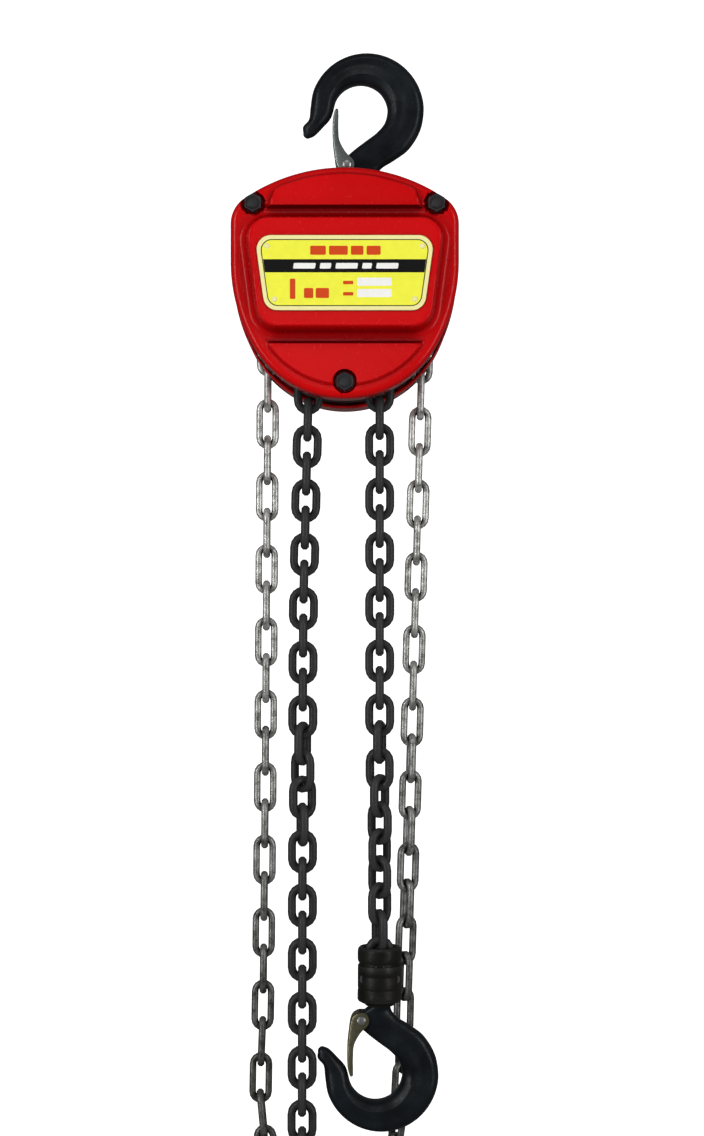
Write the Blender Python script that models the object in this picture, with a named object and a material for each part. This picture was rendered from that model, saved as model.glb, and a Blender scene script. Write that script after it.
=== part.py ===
"""Hand chain hoist, single fall, 1 t class: hooks, side plates, two-stage gear train, load
sheave, load brake, hand wheel, bottom block and both chains.

Frame: metres, +Z up, the front (gear side) towards -Y. The origin is the seat of the top hook,
the inside top of its bowl on the shank axis. Sizes are driving values in millimetres times MM.
"""
import math

import bmesh
import bpy
from mathutils import Matrix, Vector

MM = 0.001
GAP = 0.3 * MM  # clearance between pieces that seat on each other
RUN = 0.6 * MM  # clearance beside pieces that turn

# Chains: wire, pitch and outside width
LOAD_WIRE, LOAD_PITCH, LOAD_WIDE = 6 * MM, 18 * MM, 20 * MM
HAND_WIRE, HAND_PITCH, HAND_WIDE = 5 * MM, 25 * MM, 16 * MM
SHEAVE_POCKETS = 4
WHEEL_POCKETS = 7

# Main shaft axis, and the outline of plates and covers about it
SHAFT_X, SHAFT_Z = -13.4 * MM, -128 * MM
HALF_WIDTH = 74 * MM
TOP_HEIGHT = 66 * MM
BOTTOM_DEPTH = 84 * MM
TOP_RADIUS = 116 * MM
CORNER_RADIUS = 20 * MM
SIDE_RADIUS = 110 * MM
SIDE_ARC_START = 5 * MM
BOLT_EDGE = 5.8 * MM  # top stay bolts, in from the outline
BOLT_ANGLE = math.radians(67.6)
BOTTOM_BOLT_EDGE = 11 * MM

# Side plates
PLATE_SPACE = 34 * MM
PLATE_THICK = 4 * MM
PLATE_INSET = 1.5 * MM
PLATE_IN = PLATE_SPACE / 2
PLATE_OUT = PLATE_IN + PLATE_THICK

# Covers
COVER_WALL = 2 * MM
COVER_ROUND = 3 * MM
GEAR_COVER_DEPTH = 24 * MM  # plate to main face
BOSS_HEIGHT = 15 * MM
BOSS_WALL = 2.5 * MM
BOSS_TOP = 34 * MM
BOSS_BOTTOM = -42 * MM
BOSS_EDGE = 6.5 * MM  # boss side, in from the half width
BOSS_TAPER = 10 * MM
BOSS_ROUND = 16 * MM
PLATEAU_HEIGHT = 4 * MM
PLATEAU_GROOVE = 5 * MM
PLATEAU_HALF = 46 * MM
POCKET_DEPTH = 5 * MM
PILLAR_SHORT = 0.2 * MM  # a pillar stops this far inside the cover's rim
POCKET_RADIUS = 7.6 * MM
WHEEL_COVER_DEPTH = 44 * MM
WHEEL_COVER_RISE = 1.5 * MM
NAME_PLATE_EDGE = 9.5 * MM  # name plate edge, in from the boss side
NAME_PLATE_HEIGHT = 48 * MM
NAME_PLATE_TAPER = 8 * MM
NAME_PLATE_THICK = 0.8 * MM
NAME_PLATE_ROUND = 9 * MM

# Stay bolts and nuts
STAY_RADIUS = 5 * MM
BOLT_RADIUS = 4 * MM
NUT_FLATS = 10.6 * MM
NUT_THICK = 5.5 * MM

# Gear train: two equal stages
MODULE = 1.25 * MM
PINION_TEETH, GEAR_TEETH = 10, 45
PINION_SHIFT = 0.4
PRESSURE_ANGLE = math.radians(20)
BACKLASH = 0.25 * MM
CENTRES = MODULE * (PINION_TEETH + GEAR_TEETH) / 2
LOAD_GEAR_WIDTH = 9.5 * MM
DISC_GEAR_WIDTH = 6.2 * MM
GEAR_GAP = 3 * MM
SHORT_SHAFT_RADIUS = 4.4 * MM
SHORT_SHAFT_END = 12 * MM

# Load sheave and its bearings
SHEAVE_FLANGE = 3 * MM
FLANGE_OVER_PITCH = 8 * MM
DRIVE_RADIUS = 7 * MM
SHEAVE_NECK = 12 * MM
RETAINING_RING = 2.7 * MM
BEARING_BORE = 15 * MM
BEARING_RADIUS = 21 * MM
BEARING_WIDTH = 8 * MM

# Brake, from the rear side plate outwards
BRAKE_GAP = 3 * MM
HUB_FLANGE = 4 * MM
HUB_RADIUS = 30 * MM
HUB_SLEEVE = 12 * MM
LINING_THICK = 2.5 * MM
LINING_RADIUS = 28 * MM
RATCHET_THICK = 4 * MM
RATCHET_TIP, RATCHET_ROOT = 33 * MM, 29 * MM
RATCHET_TEETH = 8
PAWL_REACH = 24 * MM
PAWL_EYE = 5 * MM
PAWL_PIN = 2.2 * MM
PAWL_ANGLE = math.radians(30)  # from the shaft to the right pawl pin, above the horizontal

# Hand wheel
WHEEL_WIDTH = 19 * MM
WHEEL_WEB = 5 * MM
WHEEL_RIM = 8 * MM
WHEEL_HUB = 15 * MM
SHAFT_NUT_THICK = 3 * MM

# Guides below the sheave
ROLLER_RADIUS = 6 * MM
ROLLER_PIN = 3 * MM
ROLLER_DROP = 30 * MM
STRIPPER_HALF = 8 * MM
STRIPPER_DROP = 47 * MM
STRIPPER_THICK = 7 * MM

# Suspension
YOKE_WIDTH = 28 * MM
YOKE_HEIGHT = 19 * MM
YOKE_Z = -76 * MM
TRUNNION = 6 * MM
SHANK = 7 * MM
SHANK_THREAD = 6 * MM
HOOK_NUT_FLATS = 19 * MM
HOOK_NUT_THICK = 7 * MM

# Hooks, both the same forging: u to the right, v from the seat towards the shank
BOWL_RADIUS = 17.8 * MM
BOWL_U, BOWL_V = -3 * MM, 17.8 * MM
BACK_RADIUS = 38 * MM
BACK_U, BACK_V = 1.2 * MM, 17 * MM
HOOK_HALF_THICK = 10 * MM
NECK_V = 62.5 * MM
LATCH_U, LATCH_V = -12.2 * MM, 54 * MM
LATCH_PIN = 1.8 * MM
LATCH_LENGTH = 36.4 * MM
LATCH_GAP = 6.4 * MM  # half the space between the latch's cheeks
LATCH_SHEET = 1.2 * MM

# Bottom block
LOAD_SEAT_Z = -676 * MM
BLOCK_RADIUS = 14.65 * MM
BLOCK_TOP_Z, BLOCK_BOTTOM_Z = -573.7 * MM, -613.2 * MM
BLOCK_WALL = 3.8 * MM
CHAIN_PIN = 3.6 * MM
CHAIN_PIN_DROP = 13.4 * MM
COLLAR_RADIUS = 10.3 * MM
COLLAR_THICK = 7.5 * MM
BLOCK_LIP = 7 * MM
BLOCK_BOLT = 2 * MM
BLOCK_BOLT_HEAD = 3.2 * MM
BLOCK_BOLT_X = 10.2 * MM
BLOCK_BOLT_SINK = 2.4 * MM  # length of a bolt head
BLOCK_BOLT_END = math.sqrt(BLOCK_RADIUS**2 - BLOCK_BOLT_X**2) - BLOCK_BOLT_HEAD / 2

# Way points of the straight falls, chosen by hand: they lean a little, as they hang
HAND_EXIT_X = 53.0 * MM
LIVE_ROUTE = [(0, 0), (0, -0.14), (0, -0.28), (0, -0.42)]
SLACK_ROUTE = [(0, 0), (-0.0034, -0.14), (-0.0048, -0.22), (-0.0053, -0.44), (-0.0055, -0.5617)]
HAND_LEFT_ROUTE = [
    (0, 0), (-0.0010, -0.15), (-0.0020, -0.30), (-0.0035, -0.45), (-0.0045, -0.53), (0.0100, -0.5917),
]
HAND_RIGHT_ROUTE = [
    (0, 0), (-0.0040, -0.15), (-0.0080, -0.30), (-0.0125, -0.45), (-0.0155, -0.53), (-0.0300, -0.5917),
]
SLACK_HANK_X, SLACK_HANK_HALF = -5.5 * MM, (33 * MM, 20.5 * MM)
HAND_HANK_X, HAND_HANK_HALF = -12.0 * MM, (36 * MM, 25.5 * MM)

# Where the chains leave the housing, and how low each straight fall goes
FALL_TOP = 30 * MM  # thick load chain tubes start this far below the shaft
HAND_TOP = 40 * MM
SLACK_LOW_Z = -720 * MM
HAND_LOW_Z = -760 * MM
HANK_RUN = 0.31

ROUND = 20  # sides of a medium round piece


def pitch_radius(wire, pitch, pockets):
    """Radius of the link centres on a pocket wheel."""
    half = math.pi / (2 * pockets)
    return math.hypot(pitch / math.sin(half), wire / math.cos(half)) / 2


SHEAVE_RADIUS = pitch_radius(LOAD_WIRE, LOAD_PITCH, SHEAVE_POCKETS)
WHEEL_RADIUS = pitch_radius(HAND_WIRE, HAND_PITCH, WHEEL_POCKETS)
LIVE_X = SHAFT_X + SHEAVE_RADIUS - 0.6 * MM
SLACK_X = SHAFT_X - SHEAVE_RADIUS + 0.6 * MM

FACE_Y = -(PLATE_OUT + GEAR_COVER_DEPTH)
BOSS_Y = FACE_Y - BOSS_HEIGHT
LOAD_GEAR_Y = -(PLATE_OUT + GEAR_GAP)
DISC_GEAR_Y = LOAD_GEAR_Y - LOAD_GEAR_WIDTH - GEAR_GAP + GAP
HUB_Y = PLATE_OUT + BRAKE_GAP
FRONT_LINING_Y = HUB_Y + HUB_FLANGE + GAP
RATCHET_Y = FRONT_LINING_Y + LINING_THICK + GAP
REAR_LINING_Y = RATCHET_Y + RATCHET_THICK + GAP
WHEEL_Y = REAR_LINING_Y + LINING_THICK + GAP
HAND_Y = WHEEL_Y + WHEEL_WIDTH / 2
REAR_Y = PLATE_OUT + WHEEL_COVER_DEPTH
CORNER_X = HALF_WIDTH - CORNER_RADIUS
CORNER_Z = TOP_HEIGHT - TOP_RADIUS + math.sqrt(
    (TOP_RADIUS - CORNER_RADIUS) ** 2 - CORNER_X**2
)
SHAFT = Vector((SHAFT_X, 0, SHAFT_Z))
NOSE_RADIUS = RATCHET_ROOT + (RATCHET_TIP - RATCHET_ROOT) / 2
PAWL_PIN_AWAY = RATCHET_TIP + PAWL_EYE + 3 * MM
NOSE_TURN = math.acos(
    (PAWL_PIN_AWAY**2 + NOSE_RADIUS**2 - PAWL_REACH**2) / (2 * PAWL_PIN_AWAY * NOSE_RADIUS)
)


# ---------------------------------------------------------------- scene and materials
def clear_scene():
    for thing in list(bpy.data.objects):
        bpy.data.objects.remove(thing)


def material(name, colour, metallic, roughness):
    made = bpy.data.materials.new(name)
    made.use_nodes = True
    shader = made.node_tree.nodes["Principled BSDF"]
    shader.inputs["Base Color"].default_value = (*colour, 1)
    shader.inputs["Metallic"].default_value = metallic
    shader.inputs["Roughness"].default_value = roughness
    return made


clear_scene()
RED = material("red_paint", (0.55, 0.01, 0.012), 0.0, 0.3)
BLACK = material("black_steel", (0.03, 0.032, 0.036), 0.6, 0.4)
STEEL = material("machined_steel", (0.5, 0.5, 0.52), 1.0, 0.35)
ZINC = material("zinc_plate", (0.6, 0.6, 0.58), 1.0, 0.35)
LINING = material("friction_lining", (0.2, 0.12, 0.08), 0.0, 0.8)
YELLOW = material("plate_yellow", (0.9, 0.8, 0.06), 0.0, 0.4)


# ---------------------------------------------------------------- solids
def finish(name, bm, mat, at=SHAFT):
    """An object from bm, whose coordinates count from the point at."""
    bmesh.ops.remove_doubles(bm, verts=bm.verts, dist=1e-6)
    bmesh.ops.recalc_face_normals(bm, faces=bm.faces)
    mesh = bpy.data.meshes.new(name)
    bm.to_mesh(mesh)
    bm.free()
    mesh.materials.append(mat)
    mesh.shade_smooth()
    mesh.set_sharp_from_angle(angle=math.radians(35))
    thing = bpy.data.objects.new(name, mesh)
    thing.location = at
    bpy.context.scene.collection.objects.link(thing)
    return thing


def turned(name, profile, mat, at=SHAFT, steps=ROUND, along="Y", start=0.0, sweep=math.tau):
    """A closed profile of (radius, distance along the axis), turned about Y, Z or X."""
    bm = bmesh.new()
    whole = sweep == math.tau
    rings = []
    for i in range(steps if whole else steps + 1):
        c = math.cos(start + sweep * i / steps)
        s = math.sin(start + sweep * i / steps)
        if along == "Y":
            ring = [bm.verts.new((r * c, a, r * s)) for r, a in profile]
        elif along == "Z":
            ring = [bm.verts.new((r * c, r * s, a)) for r, a in profile]
        else:
            ring = [bm.verts.new((a, r * c, r * s)) for r, a in profile]
        rings.append(ring)
    for i in range(steps):
        near, far = rings[i], rings[(i + 1) % len(rings)]
        for j in range(len(profile)):
            k = (j + 1) % len(profile)
            bm.faces.new((near[j], near[k], far[k], far[j]))
    if not whole:
        bm.faces.new(rings[0])
        bm.faces.new(rings[-1])
    return finish(name, bm, mat, at)


def rod(name, radius, y0, y1, mat, at=SHAFT, steps=12, along="Y"):
    return turned(name, [(0, y0), (radius, y0), (radius, y1), (0, y1)], mat, at, steps, along)


def ring(name, bore, radius, y0, y1, mat, at=SHAFT, steps=ROUND, along="Y"):
    profile = [(bore, y0), (radius, y0), (radius, y1), (bore, y1)]
    return turned(name, profile, mat, at, steps, along)


def loft(name, sections, mat, at=SHAFT):
    """Equal loops of points joined in order, with both ends closed."""
    bm = bmesh.new()
    loops = [[bm.verts.new(p) for p in section] for section in sections]
    for near, far in zip(loops, loops[1:]):
        for j in range(len(near)):
            k = (j + 1) % len(near)
            bm.faces.new((near[j], near[k], far[k], far[j]))
    bm.faces.new(loops[0])
    bm.faces.new(loops[-1])
    return finish(name, bm, mat, at)


def prism(name, outline, y0, y1, mat, at=SHAFT):
    return loft(name, [[(x, y, z) for x, z in outline] for y in (y0, y1)], mat, at)


def block(name, low, high, mat, at=SHAFT):
    outline = [(low[0], low[2]), (high[0], low[2]), (high[0], high[2]), (low[0], high[2])]
    return prism(name, outline, low[1], high[1], mat, at)


def combine(target, tool, operation):
    """A Boolean with a hidden tool object."""
    tool.hide_render = True
    tool.display_type = "WIRE"
    step = target.modifiers.new(tool.name, "BOOLEAN")
    step.operation = operation
    step.solver = "EXACT"
    step.object = tool


def cut(target, tool):
    combine(target, tool, "DIFFERENCE")


def fuse(target, tool):
    combine(target, tool, "UNION")


def drill(target, radius, x, z, y0, y1, steps=12):
    """A round hole along Y, at x and z from the target's own origin, wide enough at its flats."""
    at = target.location + Vector((x, 0, z))
    radius /= math.cos(math.pi / steps)
    cut(target, rod(f"drill_{target.name}_{len(target.modifiers)}", radius, y0, y1, BLACK, at, steps))


# ---------------------------------------------------------------- outlines
def arc(centre, radius, first, last, steps):
    """Points on an arc, angles in radians from +X towards +Z."""
    angles = [first + (last - first) * i / steps for i in range(steps + 1)]
    return [(centre[0] + radius * math.cos(a), centre[1] + radius * math.sin(a)) for a in angles]


def polar(radius, angle):
    return radius * math.cos(angle), radius * math.sin(angle)


def body_outline(inset=0.0, rise=0.0):
    """The housing's outline about the shaft: top arc, corners, long sides and bottom arc."""
    top_centre = (0, TOP_HEIGHT - TOP_RADIUS)
    corner = (CORNER_X, CORNER_Z)
    join = math.atan2(CORNER_Z - top_centre[1], CORNER_X)
    side = (HALF_WIDTH - SIDE_RADIUS, SIDE_ARC_START)
    drop = BOTTOM_DEPTH + side[1]
    tip_radius = (SIDE_RADIUS**2 - side[0] ** 2 - drop**2) / (2 * (SIDE_RADIUS - drop))
    tip = (0, tip_radius - BOTTOM_DEPTH)
    leave = math.atan2(tip[1] - side[1], tip[0] - side[0])
    grow = rise - inset
    right = arc(top_centre, TOP_RADIUS + grow, math.pi / 2, join, 4)[:-1]
    right += arc(corner, CORNER_RADIUS + grow, join, 0, 4)
    right += arc(side, SIDE_RADIUS + grow, 0, leave, 4)[:-1]
    right += arc(tip, tip_radius + grow, leave, -math.pi / 2, 5)
    return right + [(-x, z) for x, z in right[-2:0:-1]]


def rounded(corners, radius, steps=3):
    """A polygon with every corner rounded."""
    points = []
    for i, here in enumerate(corners):
        here = Vector(here)
        back = (Vector(corners[i - 1]) - here).normalized()
        ahead = (Vector(corners[(i + 1) % len(corners)]) - here).normalized()
        half = back.angle(ahead) / 2
        centre = here + (back + ahead).normalized() * radius / math.sin(half)
        first = here + back * radius / math.tan(half) - centre
        turn = first.angle_signed(here + ahead * radius / math.tan(half) - centre)
        for k in range(steps + 1):
            points.append(tuple(centre + Matrix.Rotation(-turn * k / steps, 2) @ first))
    return points


def boss_outline(inset=0.0):
    wide = HALF_WIDTH - BOSS_EDGE - inset
    narrow = wide - BOSS_TAPER
    top, bottom = BOSS_TOP - inset, BOSS_BOTTOM + inset
    corners = [(-wide, top), (wide, top), (narrow, bottom), (-narrow, bottom)]
    return rounded(corners, BOSS_ROUND - inset)


def gear_outline(teeth, shift, phase):
    """Involute teeth, thinned by half the backlash, a tooth centred on the angle phase."""
    pitch = MODULE * teeth / 2
    base = pitch * math.cos(PRESSURE_ANGLE)
    tip = pitch + MODULE * (1 + shift)
    root = pitch - MODULE * (1.25 - shift)
    thick = MODULE * (math.pi / 2 + 2 * shift * math.tan(PRESSURE_ANGLE)) - BACKLASH / 2
    spread = math.tan(PRESSURE_ANGLE) - PRESSURE_ANGLE

    def half_angle(radius):
        if radius < base:
            return half_angle(base)
        roll = math.acos(base / radius)
        return thick / (2 * pitch) + spread - (math.tan(roll) - roll)

    levels = 2 if teeth > 20 else 3
    start = max(root, base)
    radii = [root] * (root < base) + [start + (tip - start) * k / (levels - 1) for k in range(levels)]
    points = []
    for i in range(teeth):
        middle = phase + math.tau * i / teeth
        for side, run in ((-1, radii), (1, radii[::-1])):
            for r in run:
                a = middle + side * half_angle(r)
                points.append((r * math.cos(a), r * math.sin(a)))
    return points


# ---------------------------------------------------------------- hooks and latches
def hook_stations(shank_v, end_radius, end_from, end_v):
    """(inner, outer, half thickness) across the hook, from the tip round to the shank's end."""
    stations = [
        ((-37.5, 34.6), (-40.2, 31.5), 2.2),
        ((-33.6, 33.2), (-40.6, 27.8), 4.4),
        ((-28.2, 28.2), (-37.0, 23.2), 6.0),
        ((-22.6, 21.6), (-36.4, 15.0), 7.2),
    ]
    made = [(Vector(a) * MM, Vector(b) * MM, t * MM) for a, b, t in stations]
    bowl, back = Vector((BOWL_U, BOWL_V)), Vector((BACK_U, BACK_V))
    for degrees in range(200, 361, 16):
        away = Vector((math.cos(math.radians(degrees)), math.sin(math.radians(degrees))))
        share = math.sin(math.radians(degrees - 180)) ** 0.5 if 180 < degrees < 360 else 0
        thick = HOOK_HALF_THICK * (0.82 + 0.18 * share)
        made.append((bowl + away * BOWL_RADIUS, back + away * BACK_RADIUS, thick))
    neck = [
        ((13.0, 25.5), (36.9, 30.0), 8.6),
        ((7.5, 32.0), (29.4, 42.4), 7.8),
        ((-0.5, 38.0), (19.5, 50.0), 6.8),
        ((-8.5, 44.2), (12.0, 54.6), 6.0),
        ((-15.2, 51.0), (8.6, 58.4), 5.6),
        ((-15.0, 57.0), (7.4, 61.0), 5.6),
    ]
    made += [(Vector(a) * MM, Vector(b) * MM, t * MM) for a, b, t in neck]
    for v, radius in ((shank_v, SHANK), (end_from, SHANK), (end_from, end_radius), (end_v, end_radius)):
        made.append((Vector((-radius, v)), Vector((radius, v)), radius))
    return made


def hook(name, up, at, shank_v, end_radius, end_from, end_v, sides=10):
    """The forged hook. up is -1 for the top hook, whose shank points down."""
    sections = []
    for inner, outer, thick in hook_stations(shank_v, end_radius, end_from, end_v):
        middle, reach = (inner + outer) / 2, (outer - inner) / 2
        loop = []
        for k in range(sides):
            a = math.tau * (k + 0.5) / sides
            p = middle + reach * math.cos(a)
            loop.append((p.x, thick * math.sin(a), up * p.y))
        sections.append(loop)
    return loft(name, sections, BLACK, at)


def latch(name, up, at):
    """A folded sheet latch from its pin towards the bowl: two cheeks joined along the outer edge."""
    outer = [(-5.6, 3.0), (-7.6, -1.0), (-9.4, -16.0), (-9.4, -29.0), (-7.8, -LATCH_LENGTH / MM)]
    inner = [(-5.4, -36.0), (-5.6, -29.0), (-5.2, -17.0), (-0.8, -8.0), (4.6, -1.5), (4.0, 3.4), (0.0, 5.4)]
    wide = LATCH_GAP + LATCH_SHEET
    cheek = [(u * MM, up * v * MM) for u, v in outer + inner]
    body = prism(name, cheek, -wide, wide, ZINC, at)
    far = 2 * LATCH_LENGTH
    hollow = [(u * MM + LATCH_SHEET, up * v * MM) for u, v in outer]
    hollow += [(hollow[-1][0], -up * far), (far, -up * far), (far, up * far), (hollow[0][0], up * far)]
    cut(body, prism(f"hollow_{name}", hollow, -LATCH_GAP, LATCH_GAP, ZINC, at))
    drill(body, LATCH_PIN + GAP, 0, 0, -2 * wide, 2 * wide, 10)


def latch_pin(name, at):
    head = LATCH_GAP + LATCH_SHEET + GAP
    profile = [
        (0, -head - MM),
        (LATCH_PIN + MM, -head - MM),
        (LATCH_PIN + MM, -head),
        (LATCH_PIN, -head),
        (LATCH_PIN, head),
        (LATCH_PIN + MM, head),
        (LATCH_PIN + MM, head + MM),
        (0, head + MM),
    ]
    return turned(name, profile, STEEL, at, 10)


def hexagon(name, flats, bore, y0, y1, mat, at, along="Y"):
    """A nut: a six-sided ring."""
    steps = 12
    radius = flats / 2 / math.cos(math.pi / 6)
    bm = bmesh.new()
    loops = []
    for distance, is_bore in ((y0, False), (y1, False), (y1, True), (y0, True)):
        loop = []
        for k in range(steps):
            a = math.tau * k / steps
            r = bore if is_bore else (radius if k % 2 == 0 else flats / 2)
            if along == "Y":
                loop.append(bm.verts.new((r * math.cos(a), distance, r * math.sin(a))))
            else:
                loop.append(bm.verts.new((r * math.cos(a), r * math.sin(a), distance)))
        loops.append(loop)
    for i, near in enumerate(loops):
        far = loops[(i + 1) % 4]
        for j in range(steps):
            k = (j + 1) % steps
            bm.faces.new((near[j], near[k], far[k], far[j]))
    return finish(name, bm, mat, at)


# ---------------------------------------------------------------- suspension
def make_suspension():
    yoke_low = YOKE_Z - YOKE_HEIGHT / 2
    nut_v = -yoke_low + GAP
    thread_v = -yoke_low - MM
    top = hook("top_hook", -1, Vector((0, 0, 0)), NECK_V, SHANK_THREAD, thread_v, nut_v + HOOK_NUT_THICK)
    drill(top, LATCH_PIN + GAP, LATCH_U, -LATCH_V, -20 * MM, 20 * MM, 10)
    pin_at = Vector((LATCH_U, 0, -LATCH_V))
    latch("top_latch", -1, pin_at)
    latch_pin("top_latch_pin", pin_at)
    hexagon("top_hook_nut", HOOK_NUT_FLATS, SHANK_THREAD + GAP, -nut_v - HOOK_NUT_THICK, -nut_v,
            STEEL, Vector((0, 0, 0)), "Z")

    half = PLATE_IN - RUN
    at = Vector((0, 0, YOKE_Z))
    low = (-YOKE_WIDTH / 2, -half, -YOKE_HEIGHT / 2)
    high = (YOKE_WIDTH / 2, half, YOKE_HEIGHT / 2)
    yoke = block("top_yoke", low, high, BLACK, at)
    fuse(yoke, rod("trunnions", TRUNNION, -PLATE_OUT, PLATE_OUT, BLACK, at, 16))
    cut(yoke, rod("yoke_bore", SHANK + GAP, -2 * YOKE_HEIGHT, 2 * YOKE_HEIGHT, BLACK, at, 16, "Z"))


# ---------------------------------------------------------------- frame
def bolt_places():
    """Stay bolts about the shaft: two in the top corners and one at the bottom."""
    reach = CORNER_RADIUS - BOLT_EDGE
    x = CORNER_X + reach * math.cos(BOLT_ANGLE)
    z = CORNER_Z + reach * math.sin(BOLT_ANGLE)
    return {"left": (-x, z), "right": (x, z), "bottom": (0, -BOTTOM_DEPTH + BOTTOM_BOLT_EDGE)}


def roller_place(side):
    away = SHEAVE_RADIUS + LOAD_WIDE / 2 + RUN + ROLLER_RADIUS
    return side * away, -ROLLER_DROP


def pawl_place(side):
    """Pawl pins stand clear of the ratchet, on opposite sides of the shaft."""
    angle = PAWL_ANGLE if side > 0 else PAWL_ANGLE + math.pi
    return polar(PAWL_PIN_AWAY, angle)


def make_plates():
    for name, y0, y1 in (
        ("front_side_plate", -PLATE_OUT, -PLATE_IN),
        ("rear_side_plate", PLATE_IN, PLATE_OUT),
    ):
        plate = prism(name, body_outline(PLATE_INSET), y0, y1, BLACK)
        span = (y0 - MM, y1 + MM)
        drill(plate, BEARING_RADIUS + GAP, 0, 0, *span, ROUND)
        drill(plate, TRUNNION + GAP, -SHAFT_X, YOKE_Z - SHAFT_Z, *span)
        for x, z in bolt_places().values():
            drill(plate, BOLT_RADIUS + GAP, x, z, *span, 12)
        for side in (-1, 1):
            drill(plate, ROLLER_PIN + GAP, *roller_place(side), *span, 12)
            if y0 < 0:
                drill(plate, SHORT_SHAFT_RADIUS + GAP, side * CENTRES, 0, *span, 12)
            else:
                drill(plate, PAWL_PIN + GAP, *pawl_place(side), *span, 12)


def make_stays():
    front = FACE_Y + POCKET_DEPTH
    rear = REAR_Y
    for name, (x, z) in bolt_places().items():
        at = SHAFT + Vector((x, 0, z))
        low, high = front - NUT_THICK - MM, rear + NUT_THICK + MM
        shoulder = PLATE_IN - GAP
        profile = [
            (0, low), (BOLT_RADIUS, low), (BOLT_RADIUS, -shoulder), (STAY_RADIUS, -shoulder),
            (STAY_RADIUS, shoulder), (BOLT_RADIUS, shoulder), (BOLT_RADIUS, high), (0, high),
        ]
        turned(f"stay_bolt_{name}", profile, STEEL, at, 12)
        hexagon(f"front_nut_{name}", NUT_FLATS, BOLT_RADIUS + GAP, front - GAP - NUT_THICK,
                front - GAP, BLACK, at)
        hexagon(f"rear_nut_{name}", NUT_FLATS, BOLT_RADIUS + GAP, rear + GAP,
                rear + GAP + NUT_THICK, BLACK, at)


def cup(name, rim_y, face_y, mat, rise=0.0):
    """An open shell with the housing's outline, from its rim to its face."""
    out = 1 if face_y > rim_y else -1
    inner_y = face_y - out * COVER_WALL
    sections = []
    for y, inset in (
        (inner_y, COVER_WALL + COVER_ROUND),
        (inner_y - out * COVER_ROUND, COVER_WALL),
        (rim_y, COVER_WALL),
        (rim_y, 0),
        (face_y - out * COVER_ROUND, 0),
        (face_y, COVER_ROUND),
    ):
        sections.append([(x, y, z) for x, z in body_outline(inset, rise)])
    return loft(name, sections, mat)


def boss_solid(name, inset, y0, y1, top):
    """The boss as a tapered block; top is how much its last 3 mm draw in."""
    levels = ((y0, 0), (y1 + COVER_ROUND, 0), (y1, top))
    sections = [[(x, y, z) for x, z in boss_outline(inset + more)] for y, more in levels]
    return loft(name, sections, RED)


def plateau_outline(inset):
    """The raised field above the boss, between slanting edges."""
    low = BOSS_TOP + PLATEAU_GROOVE
    radius = TOP_RADIUS - COVER_ROUND - inset
    centre = (0, TOP_HEIGHT - TOP_RADIUS)
    reach = math.asin((PLATEAU_HALF - inset) / radius)
    top = arc(centre, radius, math.pi / 2 + reach, math.pi / 2 - reach, 8)
    narrow = PLATEAU_HALF - inset + 5 * MM
    return top + [(narrow, low + inset), (-narrow, low + inset)]


def make_gear_cover():
    cover = cup("gear_cover", -PLATE_OUT - GAP, FACE_Y, RED)
    fuse(cover, boss_solid("boss", 0, FACE_Y + MM, BOSS_Y, COVER_ROUND))
    flat = [(x, FACE_Y + MM, z) for x, z in plateau_outline(0)]
    high = [(x, FACE_Y - PLATEAU_HEIGHT, z) for x, z in plateau_outline(1.5 * MM)]
    fuse(cover, loft("plateau", [flat, high], RED))
    cut(cover, boss_solid("boss_hollow", BOSS_WALL, FACE_Y + 3 * MM, BOSS_Y + BOSS_WALL, COVER_ROUND))
    socket_y = DISC_GEAR_Y - DISC_GEAR_WIDTH - GEAR_GAP
    bore = SHORT_SHAFT_RADIUS + GAP
    for x in (-CENTRES, 0, CENTRES):
        at = SHAFT + Vector((x, 0, 0))
        low_y = BOSS_Y + COVER_WALL / 2
        fuse(cover, ring(f"socket_{x:.3f}", bore, bore + COVER_WALL, low_y, socket_y, RED, at, 12))
    rim = -PLATE_OUT - GAP
    for name, (x, z) in bolt_places().items():
        at = SHAFT + Vector((x, 0, z))
        seat = FACE_Y + POCKET_DEPTH
        edge = BOTTOM_BOLT_EDGE if name == "bottom" else BOLT_EDGE
        wide = min(edge - 0.1 * MM, POCKET_RADIUS + COVER_WALL)
        fuse(cover, rod(f"pillar_{name}", wide, FACE_Y + COVER_WALL / 2, rim - PILLAR_SHORT, RED, at, 12))
        cut(cover, rod(f"pocket_{name}", POCKET_RADIUS, FACE_Y - 2 * PLATEAU_HEIGHT, seat, RED, at, 14))
        cut(cover, rod(f"bolt_way_{name}", BOLT_RADIUS + GAP, FACE_Y, rim + MM, RED, at, 12))


def make_name_plate():
    wide = HALF_WIDTH - BOSS_EDGE - NAME_PLATE_EDGE
    middle = (BOSS_TOP + BOSS_BOTTOM) / 2 - MM
    top, bottom = middle + NAME_PLATE_HEIGHT / 2, middle - NAME_PLATE_HEIGHT / 2
    narrow = wide - NAME_PLATE_TAPER
    outline = rounded([(-wide, top), (wide, top), (narrow, bottom), (-narrow, bottom)], NAME_PLATE_ROUND)
    prism("name_plate", outline, BOSS_Y - GAP - NAME_PLATE_THICK, BOSS_Y - GAP, YELLOW)


def hand_slot(side):
    """The gap in the wheel cover's lower wall where the hand chain leaves."""
    inner = HAND_EXIT_X - HAND_WIDE / 2 - 3 * MM
    half = HAND_WIDE / 2 + 2.5 * MM
    low = (min(side * inner, side * 2 * HALF_WIDTH), HAND_Y - half, -2 * BOTTOM_DEPTH)
    high = (max(side * inner, side * 2 * HALF_WIDTH), HAND_Y + half, -HAND_TOP + 4 * MM)
    return block(f"hand_slot_{'right' if side > 0 else 'left'}", low, high, RED)


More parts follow.
